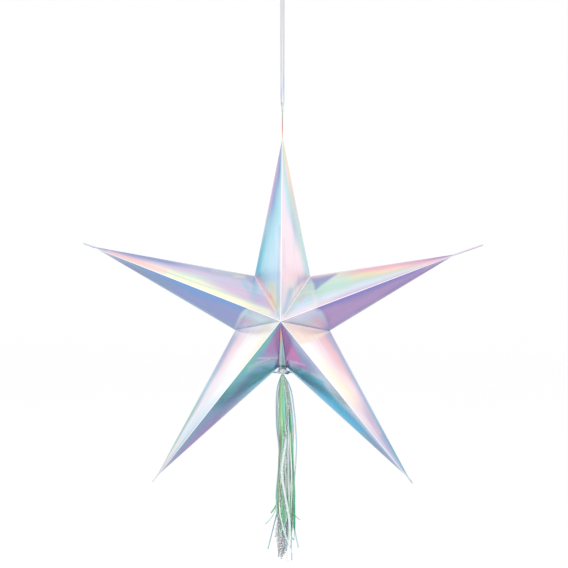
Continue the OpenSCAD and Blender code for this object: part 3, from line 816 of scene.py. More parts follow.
# %% Panel colours
# Each panel's front facet, and the facet whose table its rear side borrows
PANELS = {
    "top_arm_left": (0, -1, "top_left", "ll_out"), "top_arm_right": (0, 1, "top_right", "left_up"),
    "right_arm_upper": (1, -1, "right_up", "top_right"),
    "right_arm_lower": (1, 1, "right_low", "ll_in"),
    "lower_right_arm_outer": (2, -1, "lr_out", "right_up"),
    "lower_right_arm_inner": (2, 1, "lr_in", "left_low"),
    "lower_left_arm_inner": (3, -1, "ll_in", "right_low"),
    "lower_left_arm_outer": (3, 1, "ll_out", "top_left"),
    "left_arm_lower": (4, -1, "left_low", "lr_in"), "left_arm_upper": (4, 1, "left_up", "lr_out"),
}
# The valley lines are painted light: pale highlights in the upper valleys, darker shade in the lower.
VALLEY_HIGHLIGHT_AND_SHADE = {"top_right": "white", "right_up": "white", "top_left": "pearl", "left_up": "pearl",
                "left_low": "harbour", "ll_out": "pearl", "right_low": "iris", "lr_out": "steel",
                "lr_in": "steel", "ll_in": "harbour"}
# Each arm's tab, from its root to its end
TAB_TONES = {0: ("straw", "ember", "brick", "brick", "moss", "sage", "silver"),
             1: ("silver", "orchid", "silver"), 2: ("silver", "smoke", "apricot"),
             3: ("silver", "sand", "smoke"), 4: ("harbour", "lilac", "silver")}


def edge_lines(colour, name, from_ridge, from_valley):
    """Lays a white line over the colour beside the ridge: the bare glued edge with a painted
    highlight of the crease. Beside the valley it lays the valley's line, painted highlight on the
    upper valleys and painted shade on the lower ones. Distances are in metres. Returns the colour and
    how much bare edge shows."""
    # Beside the ridge: bare edge and a painted crease highlight; beside the valley: painted highlight and
    # shade.
    ridge = 1 - smoothstep(0.00055, 0.00115, from_ridge)
    valley = (1 - smoothstep(0.0004, 0.0014, from_valley)) * 0.8
    colour = colour * (1 - valley[..., None]) + shade(VALLEY_HIGHLIGHT_AND_SHADE[name]) * valley[..., None]
    colour = colour * (1 - ridge[..., None]) + shade("white") * ridge[..., None]
    return colour, ridge


def to_star(points, arm, side):
    """From an upright arm's own axes to the star's place: mirror, turn about Y, lift."""
    b = math.radians(90 - ARM_ANGLES[arm])
    x, y, z = points[..., 0] * side, points[..., 1], points[..., 2]
    return np.stack([x * math.cos(b) + z * math.sin(b), y,
                     STAR_Z - x * math.sin(b) + z * math.cos(b)], axis=-1)


# %% Panel body
INNER_END = 0.95


def panel_body(arm, side, front_name, rear_name, tie_point):
    """Points, faces, tints and film places of a panel without its tab: an outer skin, an inner skin
    that is drawn in by the card's thickness, the rims between them and a cap at each end."""
    length = LENGTHS[arm]
    share = stations()
    notch = notch_beside(arm, side)
    half, edge, ridge = half_section(share, notch)
    u = half[..., 0] / edge
    mid_z = (share * length)[:, None]
    edge_z = (notch[1] + (length - notch[1]) * share)[:, None]
    x, y = half[..., 0], half[..., 1]
    z = mid_z + u * (edge_z - mid_z)
    run = np.hypot(np.diff(x, axis=1), np.diff(y, axis=1))
    from_ridge = np.concatenate([np.zeros((len(share), 1)), np.cumsum(run, axis=1)], axis=1)
    v = np.broadcast_to(share[:, None], u.shape)
    normal = unit(np.stack([ridge * np.ones_like(u), -edge * np.ones_like(u)], axis=-1))
    skins, tints, places = [], [], []
    for face, name in ((-1, front_name), (1, rear_name)):
        sink = buckle(u, v, x, z, ARM_ANGLES[arm] * side * 0.1 + face, tie_point)
        sunk_x = x - normal[..., 0] * sink
        sunk_y = -face * (y - normal[..., 1] * sink)
        skins.append(np.stack([sunk_x, sunk_y, z], axis=-1))
        tint = facet_colour(name, u, v, length, notch)
        tint, bare = edge_lines(tint, name, from_ridge, v * length)
        tints.append(np.concatenate([tint, 1 - 0.9 * bare[..., None]], axis=-1))
        places.append(np.stack([u + (2.0 if face > 0 else 0.0), v], axis=-1))
    meet = smoothstep(0.8, 1.0, u)[..., None]
    tints[1] = tints[1] * (1 - meet) + tints[0] * meet
    outer = np.concatenate([skins[0], skins[1][:, -2::-1]], axis=1)
    tint = np.concatenate([tints[0], tints[1][:, -2::-1]], axis=1)
    place = np.concatenate([places[0], places[1][:, -2::-1]], axis=1)
    rows, cols = outer.shape[:2]
    inner_rows = int((share <= INNER_END).sum())
    middle = np.stack([np.zeros(rows), np.zeros(rows), share * length], axis=-1)[:, None]
    shrink = 1 - CARD_T * np.hypot(edge, ridge) / (edge * ridge)
    inner = (middle + (outer - middle) * shrink[..., None])[:inner_rows]
    points = np.concatenate([outer.reshape(-1, 3), inner.reshape(-1, 3)])
    shift = rows * cols
    j = np.arange(cols // 2)
    zip_faces = np.stack([j, j + 1, cols - 2 - j, cols - 1 - j], axis=-1)
    i = np.arange(inner_rows - 1)
    out_0, in_0 = i * cols, shift + i * cols
    last = inner_rows - 1
    o, n, c = last * cols, (last + 1) * cols, shift + last * cols
    i_solid = np.arange(last + 1, rows - 1)
    valley_j = np.arange(cols - 1)
    faces = [
        grid_faces(rows, cols),
        grid_faces(inner_rows, cols, flip=True) + shift,
        np.stack([out_0, out_0 + cols, in_0 + cols, in_0], axis=-1),
        np.stack([out_0 + cols, out_0, in_0, in_0 + cols], axis=-1) + cols - 1,
        np.stack([valley_j + 1, valley_j, shift + valley_j, shift + valley_j + 1], axis=-1),
        zip_faces[:, ::-1] + shift + last * cols,
        zip_faces + (rows - 1) * cols,
        np.array([[o, n, n + cols - 1, c], [n + cols - 1, o + cols - 1, c + cols - 1, c]]),
        np.stack([(i_solid + 1) * cols, (i_solid + 1) * cols + cols - 1, i_solid * cols + cols - 1,
                  i_solid * cols], axis=-1),
    ]
    faces = np.concatenate(faces)
    inner_tint = tint[:inner_rows].copy()
    inner_tint[..., :3] = shade("silver")
    tint = np.concatenate([tint.reshape(-1, 4), inner_tint.reshape(-1, 4)])
    place = np.concatenate([place.reshape(-1, 2), place[:inner_rows].reshape(-1, 2)])
    return points, faces, tint, place


# %% Tab
TAB_COLS = 8
HOLE_R = 0.003
HOLE_MARGIN = 0.013


def half_tab(arm, face):
    """Half of a panel's flat tab, on one side of its middle line: a thin closed box carried up the
    tab. Its inner wall follows the punched hole: the root of (radius squared - height squared)."""
    start, end = LENGTHS[arm], TIPS[arm]
    hole = HOLE_R if arm == 0 else 0.0
    hole_z = end - HOLE_MARGIN - HOLE_R
    swing = hole_z + HOLE_R * np.sin(np.linspace(-math.pi / 2, math.pi / 2, 17))
    z = np.unique(np.concatenate([np.linspace(start, end - TAB_CORNER, 40), swing,
                                  np.linspace(end - TAB_CORNER, end, 4)]))
    reach = TAB_DEPTH / 2 - np.clip(z - (end - TAB_CORNER), 0, TAB_CORNER)
    open_y = np.sqrt(np.clip(hole ** 2 - (z - hole_z) ** 2, 0, None))
    t = np.linspace(0, 1, TAB_COLS)
    y = open_y[:, None] + (reach - open_y)[:, None] * t
    x = np.full_like(y, TAB_T / 2)
    x[:, -1] = TAB_T / 2 - 0.0001
    wall_x = np.zeros((len(z), 2))
    wall_y = np.stack([reach, open_y], axis=-1)
    x, y = np.concatenate([x, wall_x], axis=1), np.concatenate([y, wall_y], axis=1)
    points = np.stack([x, face * y, np.broadcast_to(z[:, None], x.shape)], axis=-1)
    rows, cols = x.shape
    j = np.arange(cols // 2 - 1)
    cap = np.stack([j, j + 1, cols - 2 - j, cols - 1 - j], axis=-1)
    faces = np.concatenate([grid_faces(rows, cols, close_cols=True), cap[:, ::-1],
                            cap + (rows - 1) * cols])
    if face < 0:
        faces = faces[:, ::-1]
    tones = np.array([shade(name) for name in TAB_TONES[arm]])
    up = (z - start) / (end - start)
    ramp = np.stack([np.interp(up, np.linspace(0, 1, len(tones)), tones[:, k]) for k in range(3)], -1)
    tint = np.ones((rows, cols, 4))
    tint[..., :3] = ramp[:, None]
    place = np.stack([1.0 + y / 0.05, np.broadcast_to(up[:, None], y.shape)], axis=-1)
    return points.reshape(-1, 3), faces, tint.reshape(-1, 4), place.reshape(-1, 2)


# %% Build the ten panels
def tie_in_arm(arm):
    """Where the tie passes through a lower arm's outline, in the upright arm's axes (across, up)."""
    b = math.radians(90 - ARM_ANGLES[arm])
    fall = math.radians(LOWER_ARM_FALL)
    slope = LENGTHS[arm] * math.cos(fall) / (LENGTHS[arm] * math.sin(fall) - NOTCH_RADIUS)
    down = STAR_Z - TIE_Z
    x = (down - NOTCH_RADIUS) * slope * (1 if arm == 2 else -1)
    return abs(x * math.cos(b) + down * math.sin(b)), x * math.sin(b) - down * math.cos(b)


def build_panel(node_name):
    """One panel with its flat tab, in its place on the star."""
    arm, side, front_name, rear_name = PANELS[node_name]
    tie_point = tie_in_arm(arm) if front_name in ("lr_in", "ll_in") else None
    body = panel_body(arm, side, front_name, rear_name, tie_point)
    parts = [body, half_tab(arm, -1), half_tab(arm, 1)]
    shift = np.cumsum([0] + [len(part[0]) for part in parts])
    faces = np.concatenate([part[1] + shift[k] for k, part in enumerate(parts)])
    points = to_star(np.concatenate([part[0] for part in parts]), arm, side)
    piece = make_piece(node_name + "_film", points, faces if side > 0 else faces[:, ::-1], iridescent)
    tint = np.concatenate([part[2] for part in parts])
    tint[:, :3] = linear(tint[:, :3])
    paint(piece, "film_tint_and_painted_light", tint)
    film_uv(piece, np.concatenate([part[3] for part in parts]))
    piece.data.set_sharp_from_angle(angle=math.radians(38))
    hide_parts(node_name)
    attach(piece, "star")
    return piece


panels = [build_panel(name) for name in PANELS]
print("panels", len(panels), "faces", sum(len(p.data.polygons) for p in panels))

# %% [markdown]
# ## The closing flap
#
# The seam between the two lower arms is closed by a folded strip of the same film. It starts as a
# point at the front peak, widens down to the notch and goes up again to the rear peak. The strip is
# a little trough, with a soft bow across it.

# %% Closing flap
FLAP_COLS = 15
FLAP_ROWS = 60
flap_low, flap_high = (np.array(c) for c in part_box("closing_flap"))
FLAP_W = flap_high[0] - flap_low[0] + 0.0006
FLAP_GAP = 0.0003
FLAP_T = 0.0004
FLAP_TOP = 0.12
flap_reach = STAR_Z - flap_low[2]
flap_span = flap_reach - FLAP_T * math.hypot(flap_reach, HALF_DEPTH) / HALF_DEPTH


def flap_surface(face):
    """Half of the flap as a closed thin sheet: rows go from near the peak to the foot, columns go
    across and back. The outer side bows by a parabola."""
    t = np.linspace(FLAP_TOP, 1, FLAP_ROWS)[:, None]
    across = np.linspace(-1, 1, FLAP_COLS)[None]
    half = t * FLAP_W / 2 - FLAP_GAP
    out = unit(np.array([0.0, face * flap_span, -HALF_DEPTH]))
    line = np.stack([0 * t, face * HALF_DEPTH * (1 - t), STAR_Z - flap_span * t], axis=-1)
    ripple = 0.00007 * np.sin(31 * t + 4 * across) * (1 - t)
    bow = 0.0002 * (1 - across ** 2) * t * (1 - t) * 4
    x = (half * across)[..., None] * np.array([1.0, 0, 0])
    inner = line + x + out * (bow + ripple)[..., None]
    outer = inner + out * (FLAP_T * (1 - 0.3 * across ** 2))[..., None]
    foot = np.array([0, 0, -1.0]) * (FLAP_T * math.hypot(flap_span, HALF_DEPTH) / HALF_DEPTH)
    outer[-1] = inner[-1] + foot
    sheet = np.concatenate([outer, inner[:, ::-1]], axis=1)
    t, across = np.broadcast_arrays(t, across)
    return sheet, t, across


def flap_tint(t, across):
    """Grey green film with pale lines along it and one painted orange highlight near the front peak."""
    colour = shade("smoke") * np.ones((*t.shape, 3))
    lines = [(-0.8, "steel", 0.25, 0.6), (-0.25, "sage", 0.3, 0.6), (0.35, "jade", 0.22, 0.5),
             (0.85, "iris", 0.2, 0.7)]
    for place, tone, width, strength in lines:
        weight = (strength * np.exp(-((across - place - 0.15 * np.sin(6 * t)) / width) ** 2))[..., None]
        colour = colour * (1 - weight) + shade(tone) * weight
    # The orange patch near the front peak is a painted highlight.
    orange_highlight = np.exp(-((across + 0.35) / 0.55) ** 2)
    orange_highlight = orange_highlight * smoothstep(0.14, 0.2, t) * (1 - smoothstep(0.34, 0.5, t))
    return colour * (1 - 0.95 * orange_highlight[..., None]) + shade("ember") * 0.95 * orange_highlight[..., None]


flap_points, flap_faces, flap_tints, flap_places = [], [], [], []
for index, face in enumerate((-1, 1)):
    sheet, t, across = flap_surface(face)
    cols = sheet.shape[1]
    j = np.arange(FLAP_COLS - 1)
    cap = np.stack([j, j + 1, cols - 2 - j, cols - 1 - j], axis=-1)
    faces = np.concatenate([grid_faces(FLAP_ROWS, cols, close_cols=True), cap[:, ::-1],
                            cap + (FLAP_ROWS - 1) * cols])
    if face < 0:
        faces = faces[:, ::-1]
    flap_points.append(sheet.reshape(-1, 3))
    flap_faces.append(faces + index * FLAP_ROWS * cols)
    tint = flap_tint(t, across)
    flap_tints.append(np.concatenate([tint, tint[:, ::-1]], axis=1).reshape(-1, 3))
    place = np.stack([across * 0.2 + face, t], axis=-1)
    flap_places.append(np.concatenate([place, place[:, ::-1]], axis=1).reshape(-1, 2))
flap = make_piece("closing_flap_film", np.concatenate(flap_points), np.concatenate(flap_faces),
                  flap_film)
paint(flap, "film_tint_and_painted_light", linear(np.concatenate(flap_tints)))
film_uv(flap, np.concatenate(flap_places))
flap.data.set_sharp_from_angle(angle=math.radians(40))
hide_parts("closing_flap")
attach(flap, "star")
print("flap width", round(FLAP_W, 4), "foot at z =", round(float(flap_low[2]), 4))

# %% [markdown]
# ## Tie, and the knot that carries the tassel
#
# The tie is two strips of clear film twisted together. It goes through a punched hole in each lower
# arm and is knotted inside. The tassel's strips are looped over its middle and bound there, so the
# knot is a row of small crumpled loops round the tie. What is left of the tie's film is bunched in
# front of the knot, as a crumpled bow of flat loops.

# %% Tie
TIE_ROWS = 160
tie_mid = (tie_low + tie_high) / 2
TIE_HALF = (tie_high[0] - tie_low[0]) / 2
TIE_END_R = (tie_high[2] - tie_low[2]) / 2
s = np.linspace(-1, 1, TIE_ROWS)
tie_x = s * (TIE_HALF - TIE_END_R)
twist = tie_x * 420.0
from_knot = np.abs(tie_x)
loose_part = smoothstep(0.0036, 0.006, from_knot) * (1 - smoothstep(0.0105, 0.0135, from_knot))
swell = 0.00022 + 0.0007 * loose_part * (0.6 + 0.4 * np.sin(tie_x * 900))
tie_lines = np.stack([
    tie_mid + np.stack([tie_x, swell * np.cos(twist + lead), swell * np.sin(twist + lead)], axis=-1)
    for lead in (0, math.pi)])
tie_width = 0.00125 + 0.0011 * loose_part
tie_facing = np.stack([
    np.stack([0 * twist, np.cos(0.5 * twist + lead), np.sin(0.5 * twist + lead)], axis=-1)
    for lead in (0.4, 1.8)])
tie_tint = np.stack([shade("aqua"), shade("ice")])
tie_piece = make_strips("tie_film", tie_lines, tie_width[None], tie_facing, tie_tint, clear_tie,
                        0.00016, 0.1)
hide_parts("tie")
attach(tie_piece, "star")

end_lines = np.stack([
    tie_mid + np.array([sign * (TIE_HALF - TIE_END_R), 0, 0])
    + np.stack([trefoil[:, 1], trefoil[:, 0], trefoil[:, 2]], axis=-1) * (TIE_END_R - 0.0005) / 3.0
    for sign in (-1, 1)])
tie_ends = make_strips("tie_end_knots", end_lines, 0.0012, unit(trefoil)[None],
                       np.stack([shade("ice"), shade("aqua")]), clear_tie, 0.0005, 0.1, closed=True)
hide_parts("tie")
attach(tie_ends, "star")
print("tie half length", round(float(TIE_HALF), 4))

# %% Tassel knot
RING_ROWS = 72
ring_low, ring_high = (np.array(c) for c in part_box("tassel_knot"))
RING_R = (ring_high[0] - ring_low[0]) / 2
rng = np.random.default_rng(7)
loops = 12
ring_turn = np.linspace(0, 2 * math.pi, RING_ROWS, endpoint=False)[None]
lane = np.linspace(-1, 1, loops)[:, None]
crumple = (0.00022 * np.sin(5 * ring_turn + rng.uniform(0, 6.3, (loops, 1)))
           + 0.00012 * np.sin(11 * ring_turn + rng.uniform(0, 6.3, (loops, 1))))
ring_size = 0.5 + 0.5 * rng.uniform(0, 1, (loops, 1))
ring_r = 0.0013 + (RING_R - 0.0019) * ring_size * np.sqrt(1 - 0.75 * lane ** 2)
ring_r = ring_r + crumple
ring_x = lane * (RING_R - 0.0009) + 0.0004 * np.sin(ring_turn + 3 * lane)
ring_lines = np.stack([ring_x, ring_r * np.sin(ring_turn), ring_r * np.cos(ring_turn)], axis=-1) + tie_mid
lean = rng.uniform(-0.5, 0.5, (loops, 1)) + 0.3 * np.sin(3 * ring_turn + lane * 5)
ring_facing = np.stack([np.cos(lean), np.sin(lean) * np.sin(ring_turn),
                        np.sin(lean) * np.cos(ring_turn)], axis=-1)
ring_tones = ["white", "aqua", "ice", "cyan", "white", "silver", "teal", "white", "aqua", "white",
              "steel", "ice"]
ring_piece = make_strips("tassel_knot_film", ring_lines, 0.0013, ring_facing,
                         np.array([shade(n) for n in ring_tones]), clear_tie, 0.00014, 0.15, closed=True)
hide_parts("tassel_knot")
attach(ring_piece, "tassel_ring")
print("knot loops", loops, "radius", round(float(RING_R), 4))

# %% Crumpled bow of the tie
BOW_ROWS = 72
BOW_FLATTEN = 0.75
BOW_RISE = 1.6
BOW_FRONT = 4.6
BOW_LAYER = 0.22
BOW_FLOOR = -0.6
# Each loop: its aim in degrees, its reach and half width in mm, its shade. The loops lie one in
# front of another, and none of them hangs below the floor height, where the tassel starts.
BOW_LOOPS = [(38, 7.0, 1.4, "cyan"), (-16, 9.0, 1.3, "azure"), (150, 6.8, 1.6, "iris"),
             (195, 5.0, 1.2, "fog"), (4, 10.6, 1.6, "cyan"), (172, 7.6, 1.4, "ice"),
             (112, 6.0, 1.7, "white"), (-6, 6.8, 1.8, "aqua"), (88, 6.6, 1.5, "pearl"),
             (24, 8.0, 1.5, "ice"), (62, 7.0, 1.9, "white")]
bow_rows = np.linspace(0, 2 * math.pi, BOW_ROWS, endpoint=False)[None]
bow_aim, bow_reach, bow_half = (np.array([row[k] for row in BOW_LOOPS])[:, None] for k in range(3))
bow_aim = np.radians(bow_aim)
bow_wave = 0.35 * np.sin(3 * bow_rows + 2.0 * bow_aim) + 0.2 * np.sin(7 * bow_rows + 5.0 * bow_aim)
bow_out = bow_reach * (1 - np.cos(bow_rows)) / 2
bow_side = bow_half * np.sin(bow_rows) + bow_wave
bow_x = bow_out * np.cos(bow_aim) - bow_side * np.sin(bow_aim)
bow_z = BOW_FLATTEN * (bow_out * np.sin(bow_aim) + bow_side * np.cos(bow_aim)) + BOW_RISE
bow_lane = np.arange(len(BOW_LOOPS))[:, None] * BOW_LAYER
bow_y = -BOW_FRONT - bow_lane - 0.9 * (1 - np.cos(bow_rows)) / 2 + 0.3 * bow_wave
bow_lines = np.stack([bow_x, bow_y, np.maximum(bow_z, BOW_FLOOR)], axis=-1) * 0.001 + tie_mid
bow_lean = 0.5 * np.sin(2 * bow_rows + bow_aim) + 0.5
bow_facing = np.stack([-np.sin(bow_aim) * np.cos(bow_lean), np.sin(bow_lean),
                       np.cos(bow_aim) * np.cos(bow_lean)], axis=-1)
bow_piece = make_strips("tie_bow_film", bow_lines, 0.0024, bow_facing,
                        np.array([shade(row[3]) for row in BOW_LOOPS]), clear_tie, 0.00014, 0.18,
                        closed=True)
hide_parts("tie")
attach(bow_piece, "star")
print("bow loops", len(BOW_LOOPS))

# %% [markdown]
# ## The tassel
#
# About a hundred narrow film strips hang from the knot: green, mint, clear and crimped silver. They
# leave the knot close together, spread within a hand's width, cross each other in slow waves and
# flare a little at their cut ends. Real strips could be dropped in a cloth simulation. Here each line
# is a sum of a spread, a drift and a slow meander, which is quicker and always comes out the same.

# %% Tassel lines
# Places down the tassel, as shares of its length, and how far the strips spread and drift there
SPREAD_AT = [0, 0.03, 0.1, 0.23, 0.37, 0.5, 0.64, 0.77, 0.87, 1.0]
SPREAD_MM = [1.3, 3.8, 7.4, 10.0, 11.0, 12.4, 15.6, 14.6, 12.5, 13.0]
DRIFT_MM = [0, 0.8, 2.6, 4.2, 5.4, 5.6, 4.8, 4.2, 3.0, 1.6]
DEPTH_SHARE = 0.72
green_low = np.array(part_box("green_strips")[0])
TASSEL_TOP = TIE_Z - RING_R - 0.0003
TASSEL_DROP = TASSEL_TOP - green_low[2]
rng = np.random.default_rng(21)


def slow_wave(count, down, fewest, most):
    """A sine down each strip, with its own number of turns, from fewest to most, and its own start."""
    turns = rng.uniform(fewest, most, (count, 1))
    return np.sin(2 * math.pi * (turns * down + rng.uniform(0, 1, (count, 1))))


def tassel_lines(count, rows, heading, fan, shortest, longest=1.0):
    """Lines (count, rows, 3) of one group. heading is the middle of the group's side in degrees and
    fan how far it spreads round. Each strip keeps its own share of the spread, wanders in two slow
    waves and is cut at its own length, from shortest to longest, as shares of the tassel's."""
    t = np.linspace(0, 1, rows)[None]
    cut = rng.uniform(shortest, longest, (count, 1))
    down = t * cut
    angle = np.radians(heading + fan * rng.uniform(-1, 1, (count, 1)))
    angle = angle + rng.uniform(-0.5, 0.5, (count, 1)) * down
    share = np.sqrt(rng.uniform(0.03, 1.0, (count, 1)))
    spread = np.interp(down, SPREAD_AT, SPREAD_MM) * 0.001 * share
    drift = np.interp(down, SPREAD_AT, DRIFT_MM) * 0.001
    wave = 0.0011 * smoothstep(0.05, 0.4, down)
    swing_x = slow_wave(count, down, 0.8, 2.2)
    swing_y = slow_wave(count, down, 0.8, 2.2)
    x = drift + spread * np.cos(angle) + wave * swing_x
    y = DEPTH_SHARE * spread * np.sin(angle) + wave * 0.7 * swing_y
    z = TASSEL_TOP - down * TASSEL_DROP
    return np.stack([x, y, z], axis=-1), down


def flare(lines, down, picks, reach, start=0.88):
    """Bends the last part of the picked strips outwards by reach, in metres across, as a square."""
    share = np.clip((down / down[:, -1:] - start) / (1 - start), 0, 1)
    bend = np.zeros(len(lines))
    bend[picks] = reach
    lines = lines.copy()
    lines[..., 0] += bend[:, None] * share ** 1.6
    lines[..., 2] += np.abs(bend)[:, None] * 0.25 * share ** 2
    return lines


def strip_facing(count, down, turns=0.8):
    """Width directions that turn slowly down each strip, so that its face catches the light."""
    start = rng.uniform(-0.9, 0.9, (count, 1))
    angle = start + 2 * math.pi * rng.uniform(-turns, turns, (count, 1)) * down
    return np.stack([np.cos(angle), np.sin(angle), 0 * angle], axis=-1)


def strip_tones(names, count, down, glints):
    """Each strip's own shade with painted highlights: lighter in soft patches, as where its face turns
    to the light, and over a band halfway down.
    """
    base = np.array([PALE_STRIPS[name] for name in rng.choice(names, count)])[:, None, :]
    turn = 0.5 + 0.5 * slow_wave(count, down, 2, 5)
    pale = 0.5 * smoothstep(0.18, 0.42, down) * (1 - smoothstep(0.52, 0.76, down))
    gleam = np.clip(glints * turn ** 3 + pale, 0, 1)[..., None]
    return base * (1 - gleam) + gleam


PALE_STRIPS = {name: from_code(code) for name, code in {
    "leaf_green": "6ad68c", "spring": "96ecb0", "emerald": "4ccb98", "apple": "b8f0ac", "sea": "9cf0dc",
    "pale_mint": "ccf7de", "milk_green": "dcf9dc", "foam": "c2f5ee", "lime_white": "e8fbca",
    "water": "c2eff6", "frost": "e6f8fa", "ice_blue": "aee6f2", "glass": "dcecf2", "turquoise": "7cdce0",
    "tin": "ced2d8", "bright_tin": "eef0f2", "dark_tin": "a8aeb8"}.items()}
print("tassel top z", round(float(TASSEL_TOP), 4), "drop", round(float(TASSEL_DROP), 4))

# %% [markdown]
# ## Strip materials
#
# Coloured strips are thin clear film with a dye, so a little light passes through and the coat is
# strong. The silver ones are crimped foil. Their surface flashes dark and bright over a millimetre
# or so, and a group of sharp noise paints these flashes into the colour, as painted glints and
# painted dark reflections.

# %% Glitter group
def glitter_group():
    """Painted glints and dark reflections of crimped foil: cells of a Voronoi pattern, each with its
    own value, scale the tint, and the darker cells are rougher."""
    group, inner, outer = new_group(
        "foil_glitter",
        {"Tint": ("NodeSocketColor", (1, 1, 1, 1)), "Size": ("NodeSocketFloat", 900.0),
         "Contrast": ("NodeSocketFloat", 0.6)},
        {"Color": "NodeSocketColor", "Roughness": "NodeSocketFloat"})
    place = node(group, "ShaderNodeTexCoord")
    cells = node(group, "ShaderNodeTexVoronoi", {"Vector": place.outputs["Object"],
                                                 "Scale": inner.outputs["Size"]})
    value = node(group, "ShaderNodeSeparateColor", {0: cells.outputs["Color"]})
    dark = node(group, "ShaderNodeMapRange", {0: value.outputs[0], 1: 0.15, 2: 0.75})
    low = node(group, "ShaderNodeMath", {0: 1.0, 1: inner.outputs["Contrast"]}, operation="SUBTRACT")
    group.links.new(low.outputs[0], dark.inputs[3])
    dark.inputs[4].default_value = 1.45
    scaled = node(group, "ShaderNodeVectorMath", {0: inner.outputs["Tint"], "Scale": dark.outputs[0]},
                  operation="SCALE")
    rough = node(group, "ShaderNodeMapRange", {0: value.outputs[1], 3: 0.15, 4: 0.4})
    group.links.new(scaled.outputs[0], outer.inputs["Color"])
    group.links.new(rough.outputs[0], outer.inputs["Roughness"])
    return group


def foil_material(name, size, contrast):
    """Crimped silver foil: the strip's tint, flecked with painted glints and dark reflections by the
    glitter group, on a bright metal.
    """
    material = bpy.data.materials.new(name)
    material.use_nodes = True
    tree = material.node_tree
    shader = tree.nodes["Principled BSDF"]
    tint = node(tree, "ShaderNodeAttribute", attribute_name="film_tint_and_painted_light")
    glitter = node(tree, "ShaderNodeGroup", node_tree=GLITTER)
    tree.links.new(tint.outputs["Color"], glitter.inputs["Tint"])
    glitter.inputs["Size"].default_value = size
    glitter.inputs["Contrast"].default_value = contrast
    tree.links.new(glitter.outputs["Color"], shader.inputs["Base Color"])
    tree.links.new(glitter.outputs["Roughness"], shader.inputs["Roughness"])
    shader.inputs["Metallic"].default_value = 0.85
    return material


GLITTER = glitter_group()
green_film = film_material("green_film", 0.0, 0.12, 0.06, 2.0, 24.0, 500.0, 0.0002, 0.6, 0.2)
mint_film = film_material("mint_film", 0.0, 0.12, 0.06, 2.0, 24.0, 500.0, 0.0002, 0.6, 0.2)
clear_strip_film = film_material("clear_strip_film", 0.0, 0.1, 0.1, 2.0, 24.0, 500.0, 0.0002, 0.6, 0.25)
silver_foil = foil_material("crimped_silver_foil", 1300.0, 0.62)
print("strip materials made")

# %% Green strips
STRIP_ROWS = 110
green_lines, green_down = tassel_lines(26, STRIP_ROWS, 215, 100, 0.74, 0.88)
green_lines = flare(green_lines, green_down, [0, 3, 7, 11, 15], [-0.009, -0.011, 0.007, -0.006, 0.009])
green_tones = strip_tones(["leaf_green", "spring", "emerald", "apple", "sea"], 26, green_down, 0.3)
# Two of them lie down the right side and show their deepest green
RIGHT_AT = [0, 0.1, 0.3, 0.6, 0.8, 1]
RIGHT_MM = [1, 8.5, 13, 18, 18.5, 17]
green_lines[4:6, :, 0] = 0.001 * np.interp(green_down[4:6], RIGHT_AT, RIGHT_MM)
green_lines[4:6, :, 1] = -0.004 * smoothstep(0, 0.3, green_down[4:6])
green_tones[4:6] = green_tones[4:6] * 0.4 + PALE_STRIPS["emerald"] * 0.6
green_strips = make_strips("green_film_strips", green_lines, 0.0025, strip_facing(26, green_down),
                           green_tones, green_film)
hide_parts("green_strips")
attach(green_strips, "tassel")

# %% Mint strips
mint_lines, mint_down = tassel_lines(28, STRIP_ROWS, 325, 110, 0.76, 0.9)
mint_lines = flare(mint_lines, mint_down, [1, 5, 9, 14], [0.008, 0.006, -0.009, 0.012])
mint_strips = make_strips(
    "mint_film_strips", mint_lines, 0.0024, strip_facing(28, mint_down),
    strip_tones(["pale_mint", "milk_green", "foam", "lime_white", "apple"], 28, mint_down, 0.5), mint_film)
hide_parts("mint_strips")
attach(mint_strips, "tassel")

# %% Clear strips, and the loose ones outside the bundle
clear_lines, clear_down = tassel_lines(24, STRIP_ROWS, 45, 150, 0.78, 0.94)
clear_lines = flare(clear_lines, clear_down, [0, 2, 4, 6, 8, 12],
                    [-0.022, -0.026, -0.018, 0.017, 0.012, 0.02], 0.86)
# Each loose strip: places down the tassel, how far across it lies there and how far in front, in mm,
# and between which places it comes to the front
LOOSE = [([0, 0.03, 0.12, 0.3, 0.36, 0.7, 0.93], [-1, -6.4, -9.6, -8.8, -5.0, -6.0, -22], 3.0, (0, 0.2)),
         ([0, 0.05, 0.14, 0.25, 0.4, 0.7, 0.97], [-1, -4.6, -7.4, -7.0, -4.0, -2.0, -6], 4.0, (0, 0.2)),
         ([0, 0.03, 0.08, 0.22, 0.36, 0.46, 0.52, 0.75, 0.92],
          [1, 7.5, 13.6, 18.8, 21.4, 20.4, 18.8, 14, 24], 3.0, (0, 0.2)),
         ([0, 0.05, 0.15, 0.3, 0.45, 0.7, 0.99], [1, 8.0, 13.0, 17.0, 15.0, 12.0, 14], 2.0, (0, 0.2)),
         ([0, 0.2, 0.33, 0.46, 0.51, 0.63, 0.76, 0.87], [1, 7.0, 6.1, 0.3, -1.7, 4.1, 10.9, 11.9],
          12.6, (0.26, 0.4)),
         ([0, 0.3, 0.5, 0.64, 0.74, 0.85, 0.95], [0, -1.0, -4.0, -5.0, -3.6, 5.0, 15.8],
          12.9, (0.56, 0.72))]


def loose_line(places, across, forward, front):
    """One line through its listed places, eased so that it has no corners."""
    t = np.linspace(0, places[-1], STRIP_ROWS)
    width = 2 * STRIP_ROWS // 12 + 1
    soft = np.hanning(width + 2)[1:-1] / np.hanning(width + 2)[1:-1].sum()
    x = np.interp(t, places, across)
    x = np.convolve(np.pad(x, width // 2, mode="reflect", reflect_type="odd"), soft, mode="valid")
    y = -forward * smoothstep(*front, t)
    return np.stack([0.001 * x, 0.001 * y, TASSEL_TOP - t * TASSEL_DROP], axis=-1), t


